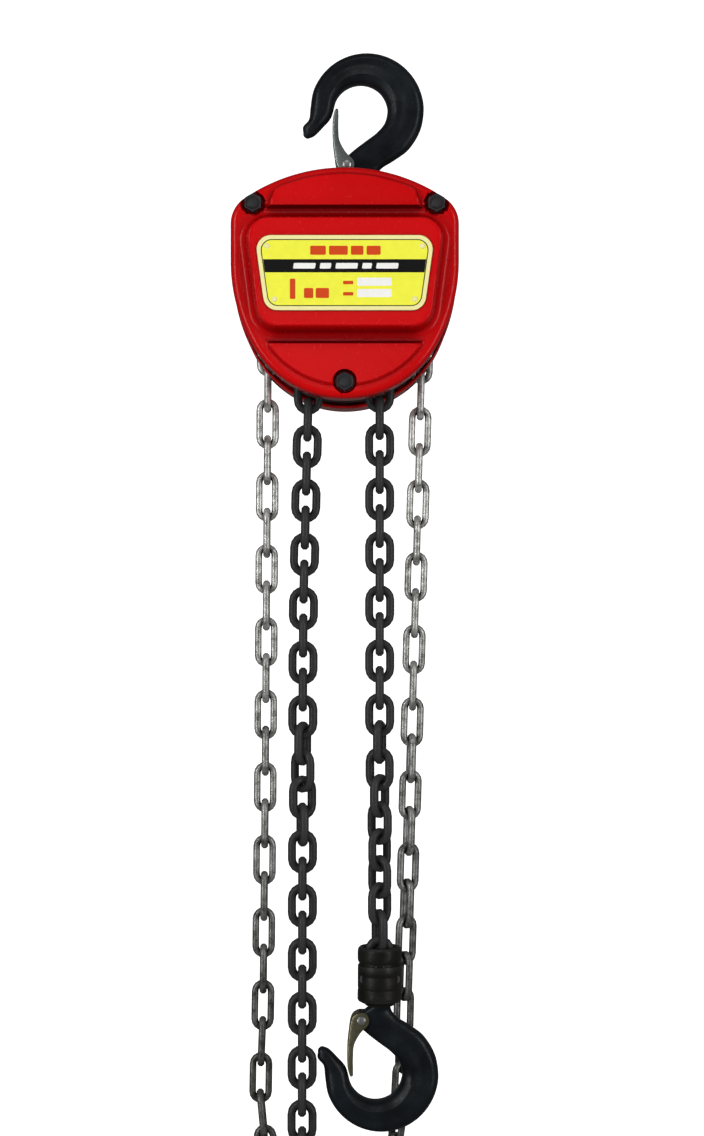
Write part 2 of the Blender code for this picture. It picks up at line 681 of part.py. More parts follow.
def make_wheel_cover():
    cover = cup("wheel_cover", PLATE_OUT + GAP, REAR_Y, RED, WHEEL_COVER_RISE)
    for side in (-1, 1):
        cut(cover, hand_slot(side))
    for name, (x, z) in bolt_places().items():
        at = SHAFT + Vector((x, 0, z))
        cut(cover, rod(f"rear_hole_{name}", BOLT_RADIUS + GAP, PLATE_OUT, 2 * REAR_Y, RED, at, 12))


def make_guides():
    for side, name in ((-1, "left"), (1, "right")):
        x, z = roller_place(side)
        at = SHAFT + Vector((x, 0, z))
        end, face = PLATE_OUT - MM, PLATE_IN - RUN
        profile = [
            (0, -end), (ROLLER_PIN, -end), (ROLLER_PIN, -face), (ROLLER_RADIUS, -face),
            (ROLLER_RADIUS, face), (ROLLER_PIN, face), (ROLLER_PIN, end), (0, end),
        ]
        turned(f"guide_roller_{name}", profile, STEEL, at, 16)
    half = PLATE_IN - GAP
    low = (-STRIPPER_HALF, -half, -STRIPPER_DROP - STRIPPER_THICK)
    high = (STRIPPER_HALF, half, -STRIPPER_DROP)
    stripper = block("chain_stripper", low, high, BLACK)
    tip = -(SHEAVE_RADIUS - LOAD_WIDE / 2 + 2 * MM)
    tongue = LOAD_WIRE / 2 - GAP
    fuse(stripper, block("stripper_tongue", (-STRIPPER_HALF * 0.6, -tongue, -STRIPPER_DROP - MM),
                         (STRIPPER_HALF * 0.6, tongue, tip), BLACK))


# ---------------------------------------------------------------- gear train
def gear(name, teeth, shift, phase, y0, width, bore, mat, at):
    made = prism(name, gear_outline(teeth, shift, phase), y0 - width, y0, mat, at)
    if bore:
        drill(made, bore, 0, 0, y0 - width - MM, y0 + MM)
    return made


def make_gears():
    pinion_long = LOAD_GEAR_WIDTH
    for side, name in ((-1, "left"), (1, "right")):
        at = SHAFT + Vector((side * CENTRES, 0, 0))
        towards = 0.0 if side > 0 else math.pi
        gear(f"disc_gear_{name}", GEAR_TEETH, -PINION_SHIFT, towards, DISC_GEAR_Y, DISC_GEAR_WIDTH,
             SHORT_SHAFT_RADIUS + GAP, STEEL, at)
        half_tooth = math.pi / PINION_TEETH if side > 0 else 0.0
        shaft = gear(f"pinion_shaft_{name}", PINION_TEETH, PINION_SHIFT, half_tooth,
                     LOAD_GEAR_Y, pinion_long, 0, STEEL, at)
        end = DISC_GEAR_Y - DISC_GEAR_WIDTH - SHORT_SHAFT_END
        fuse(shaft, rod(f"short_shaft_{name}", SHORT_SHAFT_RADIUS, end, -PLATE_IN - MM, STEEL, at))
    gear("load_gear", GEAR_TEETH, -PINION_SHIFT, 0.0, LOAD_GEAR_Y, LOAD_GEAR_WIDTH,
         SHEAVE_NECK + GAP, STEEL, SHAFT)
    ring_y = LOAD_GEAR_Y - LOAD_GEAR_WIDTH - GAP
    inside = SHEAVE_NECK + GAP
    ring("gear_retaining_ring", inside, inside + RETAINING_RING, ring_y - 1.2 * MM, ring_y, STEEL)


def make_sheave():
    groove = LOAD_WIRE / 2 + 0.7 * MM
    pocket = LOAD_WIDE / 2 + 0.3 * MM
    face = pocket + SHEAVE_FLANGE
    root = SHEAVE_RADIUS - LOAD_WIDE / 2 - GAP
    crown = SHEAVE_RADIUS + LOAD_WIRE / 2
    flange = SHEAVE_RADIUS + FLANGE_OVER_PITCH
    journal = BEARING_BORE - GAP
    bore = DRIVE_RADIUS + GAP
    neck = LOAD_GEAR_Y - LOAD_GEAR_WIDTH - 1.6 * MM
    end = PLATE_OUT + MM
    half = [(journal, face), (flange, face), (flange, pocket)]
    half += [(crown, pocket), (crown, groove), (root, groove)]
    profile = [(bore, end), (journal, end)] + half
    profile += [(r, -y) for r, y in reversed(half)]
    profile += [(journal, -end), (SHEAVE_NECK, -end), (SHEAVE_NECK, neck), (bore, neck)]
    sheave = turned("load_sheave", profile, STEEL, SHAFT, 24)
    floor = SHEAVE_RADIUS * math.cos(math.pi / (2 * SHEAVE_POCKETS)) - LOAD_WIRE / 2 - GAP
    length = LOAD_PITCH + 2 * LOAD_WIRE + MM
    for i in range(SHEAVE_POCKETS):
        high = (2 * flange, pocket, length / 2)
        tool = block(f"sheave_pocket_{i}", (floor, -pocket, -length / 2), high, STEEL)
        tool.rotation_euler = (0, -math.tau * (i + 0.5) / SHEAVE_POCKETS, 0)
        cut(sheave, tool)
    for name, side in (("front", -1), ("rear", 1)):
        inner = face + GAP
        y0, y1 = sorted((side * inner, side * (inner + BEARING_WIDTH)))
        ring(f"sheave_bearing_{name}", BEARING_BORE, BEARING_RADIUS, y0, y1, STEEL)


def make_drive():
    pinion_y = DISC_GEAR_Y + GAP
    pinion_long = DISC_GEAR_WIDTH + 2 * GAP
    shaft = gear("drive_shaft", PINION_TEETH, PINION_SHIFT, 0.0, pinion_y, pinion_long, 0, STEEL, SHAFT)
    sheave_end = LOAD_GEAR_Y - LOAD_GEAR_WIDTH - 1.6 * MM
    thin = SHORT_SHAFT_RADIUS
    low = DISC_GEAR_Y - DISC_GEAR_WIDTH - SHORT_SHAFT_END
    end = WHEEL_Y + WHEEL_WIDTH + SHAFT_NUT_THICK + GAP
    profile = [(0, low), (thin, low), (thin, sheave_end)]
    profile += [(DRIVE_RADIUS, sheave_end), (DRIVE_RADIUS, end), (0, end)]
    fuse(shaft, turned("shaft_body", profile, STEEL, SHAFT, 16))
    bore = DRIVE_RADIUS + GAP
    sleeve_end = WHEEL_Y - GAP
    turned("brake_hub", [
        (bore, HUB_Y), (HUB_RADIUS, HUB_Y), (HUB_RADIUS, HUB_Y + HUB_FLANGE),
        (HUB_SLEEVE, HUB_Y + HUB_FLANGE), (HUB_SLEEVE, sleeve_end), (bore, sleeve_end),
    ], STEEL)
    on_sleeve = HUB_SLEEVE + GAP
    for name, y in (("front", FRONT_LINING_Y), ("rear", REAR_LINING_Y)):
        ring(f"friction_disc_{name}", on_sleeve, LINING_RADIUS, y, y + LINING_THICK, LINING)
    ratchet = prism("ratchet_disc", ratchet_outline(), RATCHET_Y, RATCHET_Y + RATCHET_THICK, STEEL)
    drill(ratchet, on_sleeve, 0, 0, RATCHET_Y - MM, RATCHET_Y + 2 * RATCHET_THICK, ROUND)
    nut_y = WHEEL_Y + WHEEL_WIDTH + GAP
    hexagon("shaft_nut", 2.6 * DRIVE_RADIUS, bore, nut_y, nut_y + SHAFT_NUT_THICK, STEEL, SHAFT)
    make_hand_wheel(bore)


def ratchet_outline():
    """Saw teeth. Each step faces clockwise, seen from the front, and rests on a pawl's nose."""
    pitch = math.tau / RATCHET_TEETH
    step = PAWL_ANGLE + NOSE_TURN + GAP / RATCHET_ROOT
    points = []
    for i in range(RATCHET_TEETH):
        a = step + pitch * i
        points.append(polar(RATCHET_ROOT, a))
        for share in (0, 0.33, 0.66):
            points.append(polar(RATCHET_TIP + (RATCHET_ROOT - RATCHET_TIP) * share, a + pitch * share))
    return points


def make_pawls():
    """Each pawl trails along the ratchet from its pin, its nose in front of a step."""
    y0, y1 = RATCHET_Y, RATCHET_Y + RATCHET_THICK
    nose = PAWL_ANGLE + NOSE_TURN
    pin = Vector(polar(PAWL_PIN_AWAY, PAWL_ANGLE))
    tip = Vector(polar(RATCHET_TIP + 1.5 * MM, nose))
    heel = Vector(polar(RATCHET_ROOT + MM, nose))
    belly = Vector(polar(RATCHET_TIP - 0.6 * MM, nose - NOSE_TURN / 2))
    arm = tip - pin
    along = math.atan2(arm.y, arm.x)
    eye = arc((0, 0), PAWL_EYE, along + 1.2, along + math.tau - 1.2, 10)
    right = [tuple(heel - pin), tuple(belly - pin)] + eye + [tuple(arm)]
    for side, name in ((-1, "left"), (1, "right")):
        x, z = pawl_place(side)
        at = SHAFT + Vector((x, 0, z))
        pawl = prism(f"pawl_{name}", [(side * u, side * v) for u, v in right], y0, y1, STEEL, at)
        drill(pawl, PAWL_PIN + GAP, 0, 0, y0 - MM, y1 + MM, 12)
        profile = [
            (0, PLATE_IN), (PAWL_PIN, PLATE_IN), (PAWL_PIN, y1 + GAP),
            (PAWL_PIN + 1.5 * MM, y1 + GAP), (PAWL_PIN + 1.5 * MM, y1 + MM), (0, y1 + MM),
        ]
        turned(f"pawl_pin_{name}", profile, STEEL, at, 12)


def make_hand_wheel(bore):
    groove = HAND_WIRE / 2 + 0.6 * MM
    pocket = HAND_WIDE / 2 + 0.4 * MM
    rim = WHEEL_WIDTH / 2
    root = WHEEL_RADIUS - HAND_WIDE / 2 - GAP
    crown = WHEEL_RADIUS + HAND_WIRE / 2
    inner = root - WHEEL_RIM
    web = WHEEL_WEB / 2
    profile = [
        (bore, -rim), (WHEEL_HUB, -rim), (WHEEL_HUB, -web), (inner, -web), (inner, -rim),
        (crown, -rim), (crown, -groove), (root, -groove), (root, groove), (crown, groove), (crown, rim),
        (inner, rim), (inner, web), (WHEEL_HUB, web), (WHEEL_HUB, rim), (bore, rim),
    ]
    at = SHAFT + Vector((0, HAND_Y, 0))
    wheel = turned("hand_wheel", profile, BLACK, at, 24)
    floor = WHEEL_RADIUS * math.cos(math.pi / (2 * WHEEL_POCKETS)) - HAND_WIRE / 2 - GAP
    length = HAND_PITCH + 2 * HAND_WIRE + MM
    for i in range(WHEEL_POCKETS):
        high = (2 * crown, pocket, length / 2)
        tool = block(f"wheel_pocket_{i}", (floor, -pocket, -length / 2), high, STEEL, at)
        tool.rotation_euler = (0, math.pi / 2 - math.tau * i / WHEEL_POCKETS, 0)
        cut(wheel, tool)


# ---------------------------------------------------------------- bottom block and load hook
def make_load_block():
    at = Vector((LIVE_X, 0, BLOCK_BOTTOM_Z))
    tall = BLOCK_TOP_Z - BLOCK_BOTTOM_Z
    inner = BLOCK_RADIUS - BLOCK_WALL
    floor = BLOCK_LIP
    collar_top = floor + COLLAR_THICK + 2 * GAP
    web = collar_top + 9 * MM
    seam = GAP / 2
    pin = Vector((LIVE_X, 0, BLOCK_TOP_Z - CHAIN_PIN_DROP))
    last_link = pin + Vector((0, 0, LOAD_WIDE / 2 - LOAD_WIRE - CHAIN_PIN))
    link_half = LOAD_WIRE / 2 + GAP
    bolt_z = at.z + collar_top + BLOCK_BOLT_HEAD + 2 * GAP
    for name, side in (("front", -1), ("rear", 1)):
        profile = [
            (SHANK + GAP, 0), (BLOCK_RADIUS - MM, 0), (BLOCK_RADIUS, MM), (BLOCK_RADIUS, tall - MM),
            (BLOCK_RADIUS - MM, tall), (inner, tall), (inner, web), (seam, web), (seam, collar_top),
            (inner, collar_top), (inner, floor), (SHANK + GAP, floor),
        ]
        place = at + Vector((0, side * seam, 0))
        start = 0.0 if side > 0 else math.pi
        shell = turned(f"block_shell_{name}", profile, BLACK, place, 12, "Z", start, math.pi)
        reach = 2 * BLOCK_RADIUS
        cut(shell, rod(f"pin_hole_{name}", CHAIN_PIN + GAP, -reach, reach, BLACK, pin, 12))
        room = LOAD_WIDE / 2 + GAP
        cut(shell, rod(f"link_room_{name}", room, -link_half, link_half, BLACK, last_link, 16))
        for x in (-BLOCK_BOLT_X, BLOCK_BOLT_X):
            bolt_at = Vector((LIVE_X + x, 0, bolt_z))
            cut(shell, block_bolt(f"bolt_hole_{name}_{x:.3f}", bolt_at, GAP, 2 * BLOCK_RADIUS))
    rod("chain_pin", CHAIN_PIN, -BLOCK_RADIUS + MM, BLOCK_RADIUS - MM, STEEL, pin)
    for x, name in ((-BLOCK_BOLT_X, "left"), (BLOCK_BOLT_X, "right")):
        bolt_at = Vector((LIVE_X + x, 0, bolt_z))
        block_bolt(f"block_bolt_{name}", bolt_at, 0, BLOCK_BOLT_END)

    seat = Vector((LIVE_X, 0, LOAD_SEAT_Z))
    base = BLOCK_BOTTOM_Z - LOAD_SEAT_Z + floor + GAP
    lower = hook("load_hook", 1, seat, NECK_V, COLLAR_RADIUS, base, base + COLLAR_THICK)
    drill(lower, LATCH_PIN + GAP, LATCH_U, LATCH_V, -20 * MM, 20 * MM, 10)
    pin_at = seat + Vector((LATCH_U, 0, LATCH_V))
    latch("load_latch", 1, pin_at)
    latch_pin("load_latch_pin", pin_at)


def block_bolt(name, at, more, end):
    """A bolt with its head and nut sunk into the two block shells."""
    step = BLOCK_BOLT_END - BLOCK_BOLT_SINK - more
    thin, head = BLOCK_BOLT + more, BLOCK_BOLT_HEAD + more
    half = [(thin, step), (head, step), (head, end), (0, end)]
    profile = [(r, -y) for r, y in reversed(half)] + half
    return turned(name, profile, STEEL, at, 12)


# ---------------------------------------------------------------- chains
def smooth(points, steps):
    """A Catmull-Rom curve through the points."""
    ends = [points[0] * 2 - points[1]] + points + [points[-1] * 2 - points[-2]]
    made = []
    for a, b, c, d in zip(ends, ends[1:], ends[2:], ends[3:]):
        for k in range(steps):
            t = k / steps
            made.append(0.5 * (2 * b + (c - a) * t + (2 * a - 5 * b + 4 * c - d) * t * t
                               + (3 * b - a - 3 * c + d) * t**3))
    return made + [points[-1]]


def tube(name, points, radius, mat):
    curve = bpy.data.curves.new(name, "CURVE")
    curve.dimensions = "3D"
    curve.bevel_depth = radius
    curve.bevel_resolution = 2
    curve.use_fill_caps = True
    curve.materials.append(mat)
    spline = curve.splines.new("POLY")
    spline.points.add(len(points) - 1)
    for place, p in zip(spline.points, points):
        place.co = (*p, 1)
    thing = bpy.data.objects.new(name, curve)
    bpy.context.scene.collection.objects.link(thing)
    return thing


def route(start, steps, low=None):
    points = [start + Vector((x, 0, z)) for x, z in steps]
    if low is not None:
        points[-1].z = low
    return points


def wrap_points(radius, y, drop, exit_x):
    """Over the wheel, and straight down beside it on both sides."""
    over = [(x, z) for x, z in arc((0, 0), radius, math.pi, 0, 14)]
    side = [(-exit_x, -drop), (-(exit_x + radius) / 2, -drop / 2)]
    points = side + over + [(-x, z) for x, z in reversed(side)]
    return [SHAFT + Vector((x, y, z)) for x, z in points]


def hank(name, x, y, half, top, run, mat):
    """The outer shape of a hank: an upright bar with rounded ends."""
    wide, deep = half
    outline = rounded([(-wide, 0), (wide, 0), (wide, -run), (-wide, -run)], 12 * MM)
    prism(name, outline, y - deep, y + deep, mat, Vector((x, 0, top)))


def make_chains():
    drop = FALL_TOP - GAP
    thin = LOAD_WIRE / 2 + 0.2 * MM
    tube("load_chain_wrap", wrap_points(SHEAVE_RADIUS, 0, drop, LIVE_X - SHAFT_X), thin, BLACK)
    live = Vector((LIVE_X, 0, SHAFT_Z - FALL_TOP))
    pin_top = BLOCK_TOP_Z - CHAIN_PIN_DROP + CHAIN_PIN + GAP
    tube("load_chain_live", smooth(route(live, LIVE_ROUTE, pin_top), 4), LOAD_WIDE / 2, BLACK)
    slack = Vector((SLACK_X, 0, SHAFT_Z - FALL_TOP))
    tube("load_chain_slack", smooth(route(slack, SLACK_ROUTE, SLACK_LOW_Z), 4), LOAD_WIDE / 2, BLACK)
    slack_x = SLACK_X + SLACK_HANK_X
    hank("load_chain_hank", slack_x, 0, SLACK_HANK_HALF, SLACK_LOW_Z - GAP, HANK_RUN, BLACK)

    thin = HAND_WIRE / 2
    tube("hand_chain_wrap", wrap_points(WHEEL_RADIUS, HAND_Y, HAND_TOP - GAP, HAND_EXIT_X), thin, ZINC)
    for name, side, steps in (("left", -1, HAND_LEFT_ROUTE), ("right", 1, HAND_RIGHT_ROUTE)):
        start = SHAFT + Vector((side * HAND_EXIT_X, HAND_Y, -HAND_TOP))
        tube(f"hand_chain_{name}", smooth(route(start, steps, HAND_LOW_Z), 4), HAND_WIDE / 2, ZINC)
    hand_x = SHAFT_X + HAND_HANK_X
    hank("hand_chain_hank", hand_x, HAND_Y, HAND_HANK_HALF, HAND_LOW_Z - GAP, HANK_RUN, ZINC)


make_suspension()
make_plates()
make_stays()
make_gear_cover()
make_name_plate()
make_wheel_cover()
make_guides()
make_gears()
make_sheave()
make_drive()
make_pawls()
make_load_block()
make_chains()
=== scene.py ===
"""The looks of a hand chain hoist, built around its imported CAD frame."""
import math

import bmesh
import bpy
import numpy as np
from mathutils import Matrix, Vector
from mathutils.geometry import delaunay_2d_cdt
from mathutils.kdtree import KDTree


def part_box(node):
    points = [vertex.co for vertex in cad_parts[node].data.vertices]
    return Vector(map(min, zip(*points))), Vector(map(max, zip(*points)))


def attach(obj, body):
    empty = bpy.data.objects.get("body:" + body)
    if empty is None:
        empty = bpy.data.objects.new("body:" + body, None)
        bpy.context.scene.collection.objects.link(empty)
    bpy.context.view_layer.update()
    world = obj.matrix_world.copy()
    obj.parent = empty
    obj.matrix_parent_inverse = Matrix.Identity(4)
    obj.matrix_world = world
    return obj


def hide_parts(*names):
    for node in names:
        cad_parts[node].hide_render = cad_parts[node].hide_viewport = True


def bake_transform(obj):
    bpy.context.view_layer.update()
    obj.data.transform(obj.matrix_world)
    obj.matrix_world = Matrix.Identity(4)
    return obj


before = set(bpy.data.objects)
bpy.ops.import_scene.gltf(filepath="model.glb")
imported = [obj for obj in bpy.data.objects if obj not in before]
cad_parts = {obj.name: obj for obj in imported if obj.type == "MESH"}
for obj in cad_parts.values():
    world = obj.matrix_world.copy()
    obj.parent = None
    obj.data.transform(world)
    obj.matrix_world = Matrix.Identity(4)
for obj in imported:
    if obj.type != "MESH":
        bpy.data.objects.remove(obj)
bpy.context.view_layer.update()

MM = 0.001
scene = bpy.context.scene


# ---------------------------------------------------------------- camera
CAMERA_AT = Vector((-8.7, -1455.0, -321.7)) * MM
VIEW_HALF_HEIGHT = 378.69 * MM  # what the camera sees above its centre, at the chains' depth
VERTICAL_VIEW = 2 * math.atan(VIEW_HALF_HEIGHT / -CAMERA_AT.y)


def make_camera():
    data = bpy.data.cameras.new("camera")
    data.sensor_fit = "VERTICAL"
    data.angle = VERTICAL_VIEW
    data.clip_start = 0.05
    camera = bpy.data.objects.new("camera", data)
    camera.location = CAMERA_AT
    camera.rotation_euler = (math.pi / 2, 0, 0)
    scene.collection.objects.link(camera)
    scene.camera = camera


# ---------------------------------------------------------------- places read from the frame
def middle(node):
    low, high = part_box(node)
    return (low + high) / 2


SHAFT = middle("brake_hub")
SHAFT.y = 0
BLOCK_AT = Vector((middle("chain_pin").x, 0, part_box("block_shell_front")[0].z))
HAND_Y = middle("hand_wheel").y
TOP_PIN = middle("top_latch_pin")
LOAD_PIN = middle("load_latch_pin")
PIN_ABOVE_SEAT = 54 * MM
LOAD_SEAT = Vector((BLOCK_AT.x, 0, LOAD_PIN.z - PIN_ABOVE_SEAT))


# ---------------------------------------------------------------- materials
def node_kit(name):
    made = bpy.data.materials.new(name)
    made.use_nodes = True
    tree = made.node_tree
    shader = tree.nodes["Principled BSDF"]
    place = tree.nodes.new("ShaderNodeTexCoord")
    return made, tree, shader, place.outputs["Object"]


def noise(tree, place, scale, detail=4.0, rough=0.55):
    node = tree.nodes.new("ShaderNodeTexNoise")
    node.inputs["Scale"].default_value = scale
    node.inputs["Detail"].default_value = detail
    node.inputs["Roughness"].default_value = rough
    tree.links.new(place, node.inputs["Vector"])
    return node.outputs["Fac"]


def ramp(tree, value, stops):
    node = tree.nodes.new("ShaderNodeValToRGB")
    elements = node.color_ramp.elements
    while len(elements) < len(stops):
        elements.new(0.5)
    for element, (place, colour) in zip(elements, stops):
        element.position = place
        element.color = (*colour, 1)
    tree.links.new(value, node.inputs["Fac"])
    return node.outputs["Color"]


def grey_ramp(tree, value, low, high):
    return ramp(tree, value, [(0.3, (low,) * 3), (0.7, (high,) * 3)])


def blended(tree, mask, colour, other):
    """The first colour where the mask is black, and the other where it is white."""
    mix = tree.nodes.new("ShaderNodeMix")
    mix.data_type = "RGBA"
    tree.links.new(mask, mix.inputs["Factor"])
    tree.links.new(colour, mix.inputs["A"])
    mix.inputs["B"].default_value = (*other, 1)
    return mix.outputs["Result"]


def add_bump(tree, shader, heights):
    """Bump nodes in a chain, each (height, strength, distance)."""
    normal = None
    for height, strength, distance in heights:
        node = tree.nodes.new("ShaderNodeBump")
        node.inputs["Strength"].default_value = strength
        node.inputs["Distance"].default_value = distance
        tree.links.new(height, node.inputs["Height"])
        if normal:
            tree.links.new(normal, node.inputs["Normal"])
        normal = node.outputs["Normal"]
    tree.links.new(normal, shader.inputs["Normal"])


def edge_wear(tree, colour, worn, amount):
    """The colour, with a worn one mixed in on convex edges."""
    geometry = tree.nodes.new("ShaderNodeNewGeometry")
    mask = ramp(tree, geometry.outputs["Pointiness"], [(0.53, (0, 0, 0)), (0.60, (amount,) * 3)])
    return blended(tree, mask, colour, worn)


def shaded(tree, colour, dark, reach, low, high):
    """The colour, darkened with painted shade where other faces stand close."""
    near = tree.nodes.new("ShaderNodeAmbientOcclusion")
    near.samples = 8
    near.inputs["Distance"].default_value = reach
    mask = ramp(tree, near.outputs["AO"], [(low, (1, 1, 1)), (high, (0, 0, 0))])
    return blended(tree, mask, colour, dark)


def red_paint():
    made, tree, shader, place = node_kit("red_paint")
    cloud = noise(tree, place, 14, 3)
    colour = ramp(tree, cloud, [(0.3, (0.58, 0.001, 0.002)), (0.75, (0.68, 0.002, 0.004))])
    # painted shade: the red darkens to near black in the valleys and crevices, where other faces stand within
    # 16 mm
    colour = shaded(tree, colour, (0.10, 0.0, 0.001), 0.016, 0.55, 0.92)
    tree.links.new(colour, shader.inputs["Base Color"])
    fine = noise(tree, place, 300, 2)
    peel = noise(tree, place, 160, 2)
    tree.links.new(grey_ramp(tree, fine, 0.22, 0.28), shader.inputs["Roughness"])
    shader.inputs["Specular IOR Level"].default_value = 0.3
    add_bump(tree, shader, [(peel, 0.03, 0.0005)])
    return made


def dark_metal(name, low, high, rough, metal, bump):
    """Blackened or painted steel, worn to grey on its edges."""
    made, tree, shader, place = node_kit(name)
    cloud = noise(tree, place, 45, 5)
    colour = ramp(tree, cloud, [(0.32, low), (0.72, high)])
    tree.links.new(edge_wear(tree, colour, (0.16, 0.16, 0.17), 0.35), shader.inputs["Base Color"])
    shader.inputs["Metallic"].default_value = metal
    shader.inputs["Specular IOR Level"].default_value = 0.3
    grain = noise(tree, place, 420, 5, 0.6)
    tree.links.new(grey_ramp(tree, grain, rough - 0.08, rough + 0.1), shader.inputs["Roughness"])
    add_bump(tree, shader, [(grain, bump, 0.0004), (noise(tree, place, 90, 3), bump * 0.6, 0.0008)])
    return made


def plated_steel(name, low, high, rough, dark=(0.16, 0.15, 0.13), dirt=0.5):
    """Zinc or machined steel with darker grime in patches."""
    made, tree, shader, place = node_kit(name)
    cloud = noise(tree, place, 60, 5, 0.65)
    clean = ramp(tree, cloud, [(0.3, low), (0.7, high)])
    patches = ramp(tree, noise(tree, place, 120, 6, 0.7), [(0.52, (0, 0, 0)), (0.7, (dirt,) * 3)])
    tree.links.new(blended(tree, patches, clean, dark), shader.inputs["Base Color"])
    shader.inputs["Metallic"].default_value = 0.9
    fine = noise(tree, place, 500, 4)
    tree.links.new(grey_ramp(tree, fine, rough - 0.07, rough + 0.1), shader.inputs["Roughness"])
    add_bump(tree, shader, [(fine, 0.12, 0.0003)])
    return made


def hand_chain_metal():
    """Bright zinc at the top, duller and darker towards the low end, with painted shade at the link ends,
    where other links stand close.
    """
    made, tree, shader, place = node_kit("hand_chain_metal")
    split = tree.nodes.new("ShaderNodeSeparateXYZ")
    tree.links.new(place, split.inputs["Vector"])
    height = tree.nodes.new("ShaderNodeMapRange")
    height.inputs["From Min"].default_value = -0.62
    height.inputs["From Max"].default_value = -0.25
    tree.links.new(split.outputs["Z"], height.inputs["Value"])
    down = ramp(tree, height.outputs["Result"], [(0.0, (0.24, 0.24, 0.23)), (1.0, (1.0, 1.0, 0.97))])
    cloud = noise(tree, place, 150, 5, 0.7)
    grime = ramp(tree, cloud, [(0.36, (0.16, 0.15, 0.13)), (0.58, (1.0, 1.0, 1.0))])
    mix = tree.nodes.new("ShaderNodeMix")
    mix.data_type = "RGBA"
    mix.blend_type = "MULTIPLY"
    mix.inputs["Factor"].default_value = 0.85
    tree.links.new(down, mix.inputs["A"])
    tree.links.new(grime, mix.inputs["B"])
    # painted shade: darker where neighbouring links stand within 6 mm
    colour = shaded(tree, mix.outputs["Result"], (0.03, 0.03, 0.028), 0.006, 0.45, 0.85)
    tree.links.new(colour, shader.inputs["Base Color"])
    shader.inputs["Metallic"].default_value = 0.7
    fine = noise(tree, place, 600, 4)
    tree.links.new(grey_ramp(tree, fine, 0.28, 0.48), shader.inputs["Roughness"])
    add_bump(tree, shader, [(fine, 0.15, 0.0003)])
    return made


def print_ink(name, colour, rough=0.4):
    made, tree, shader, place = node_kit(name)
    cloud = noise(tree, place, 220, 3)
    low = tuple(c * 0.94 for c in colour)
    tree.links.new(ramp(tree, cloud, [(0.3, low), (0.7, colour)]), shader.inputs["Base Color"])
    tree.links.new(grey_ramp(tree, noise(tree, place, 700, 2), rough - 0.06, rough + 0.06),
                   shader.inputs["Roughness"])
    add_bump(tree, shader, [(cloud, 0.05, 0.0002)])
    return made


RED = red_paint()
HOOK = dark_metal("hook_black", (0.004, 0.005, 0.007), (0.014, 0.018, 0.022), 0.34, 0.15, 0.2)
CHAIN = dark_metal("load_chain_black", (0.004, 0.004, 0.004), (0.014, 0.014, 0.013), 0.38, 0.2, 0.3)
BLOCK = dark_metal("block_black", (0.006, 0.006, 0.005), (0.022, 0.021, 0.018), 0.40, 0.25, 0.35)
PLATE = dark_metal("plate_black", (0.014, 0.008, 0.008), (0.030, 0.016, 0.016), 0.45, 0.2, 0.15)
NUT = dark_metal("nut_black", (0.002, 0.002, 0.002), (0.006, 0.006, 0.006), 0.35, 0.3, 0.15)
WHEEL = dark_metal("wheel_iron", (0.04, 0.04, 0.04), (0.08, 0.08, 0.075), 0.55, 0.5, 0.4)
STEEL = plated_steel("machined_steel", (0.42, 0.42, 0.43), (0.60, 0.60, 0.60), 0.32)
GEAR = plated_steel("gear_steel", (0.30, 0.30, 0.30), (0.46, 0.45, 0.43), 0.30, (0.10, 0.08, 0.05), 0.7)
TOP_LATCH = plated_steel("latch_zinc", (0.22, 0.25, 0.25), (0.38, 0.42, 0.41), 0.36, (0.16, 0.17, 0.16), 0.3)
OLIVE = (0.16, 0.15, 0.09)
LOAD_LATCH = plated_steel("latch_olive", OLIVE, (0.34, 0.32, 0.20), 0.34, (0.05, 0.05, 0.03), 0.6)
HAND = hand_chain_metal()
LINING = dark_metal("friction_lining", (0.12, 0.07, 0.04), (0.22, 0.13, 0.08), 0.8, 0.0, 0.6)
TIE = print_ink("tie_strap", (0.03, 0.03, 0.03), 0.55)
YELLOW = print_ink("plate_yellow", (1.0, 1.0, 0.07))
PALE = print_ink("plate_border", (1.0, 0.93, 0.42))
INK = print_ink("plate_black_ink", (0.004, 0.004, 0.004))
ORANGE = print_ink("plate_orange_ink", (0.72, 0.07, 0.01))
WHITE = print_ink("plate_white", (1.0, 1.0, 0.97))


# ---------------------------------------------------------------- meshes
def make_object(name, bm, mat, angle=35.0, tidy=True):
    if tidy:
        bmesh.ops.recalc_face_normals(bm, faces=bm.faces)
    mesh = bpy.data.meshes.new(name)
    bm.to_mesh(mesh)
    bm.free()
    mesh.materials.append(mat)
    mesh.shade_smooth()
    mesh.set_sharp_from_angle(angle=math.radians(angle))
    thing = bpy.data.objects.new(name, mesh)
    scene.collection.objects.link(thing)
    return thing


def loft_into(bm, sections, closed=False):
    loops = [[bm.verts.new(p) for p in section] for section in sections]
    pairs = list(zip(loops, loops[1:]))
    if closed:
        pairs.append((loops[-1], loops[0]))
    for near, far in pairs:
        for j in range(len(near)):
            k = (j + 1) % len(near)
            bm.faces.new((near[j], near[k], far[k], far[j]))
    if not closed:
        bm.faces.new(loops[0])
        bm.faces.new(loops[-1])


def loft(name, sections, mat, angle=35.0):
    bm = bmesh.new()
    loft_into(bm, sections)
    return make_object(name, bm, mat, angle)


def turned(name, profile, mat, at, steps, along, start=0.0, sweep=math.tau):
    """A closed profile of (radius, height) turned about an axis through at."""
    bm = bmesh.new()
    whole = sweep == math.tau
    sections = []
    for i in range(steps if whole else steps + 1):
        c, s = math.cos(start + sweep * i / steps), math.sin(start + sweep * i / steps)
        if along == "Z":
            sections.append([at + Vector((r * c, r * s, a)) for r, a in profile])
        else:
            sections.append([at + Vector((r * c, a, r * s)) for r, a in profile])
    loft_into(bm, sections, closed=whole)
    bmesh.ops.remove_doubles(bm, verts=bm.verts, dist=1e-6)
    return make_object(name, bm, mat)


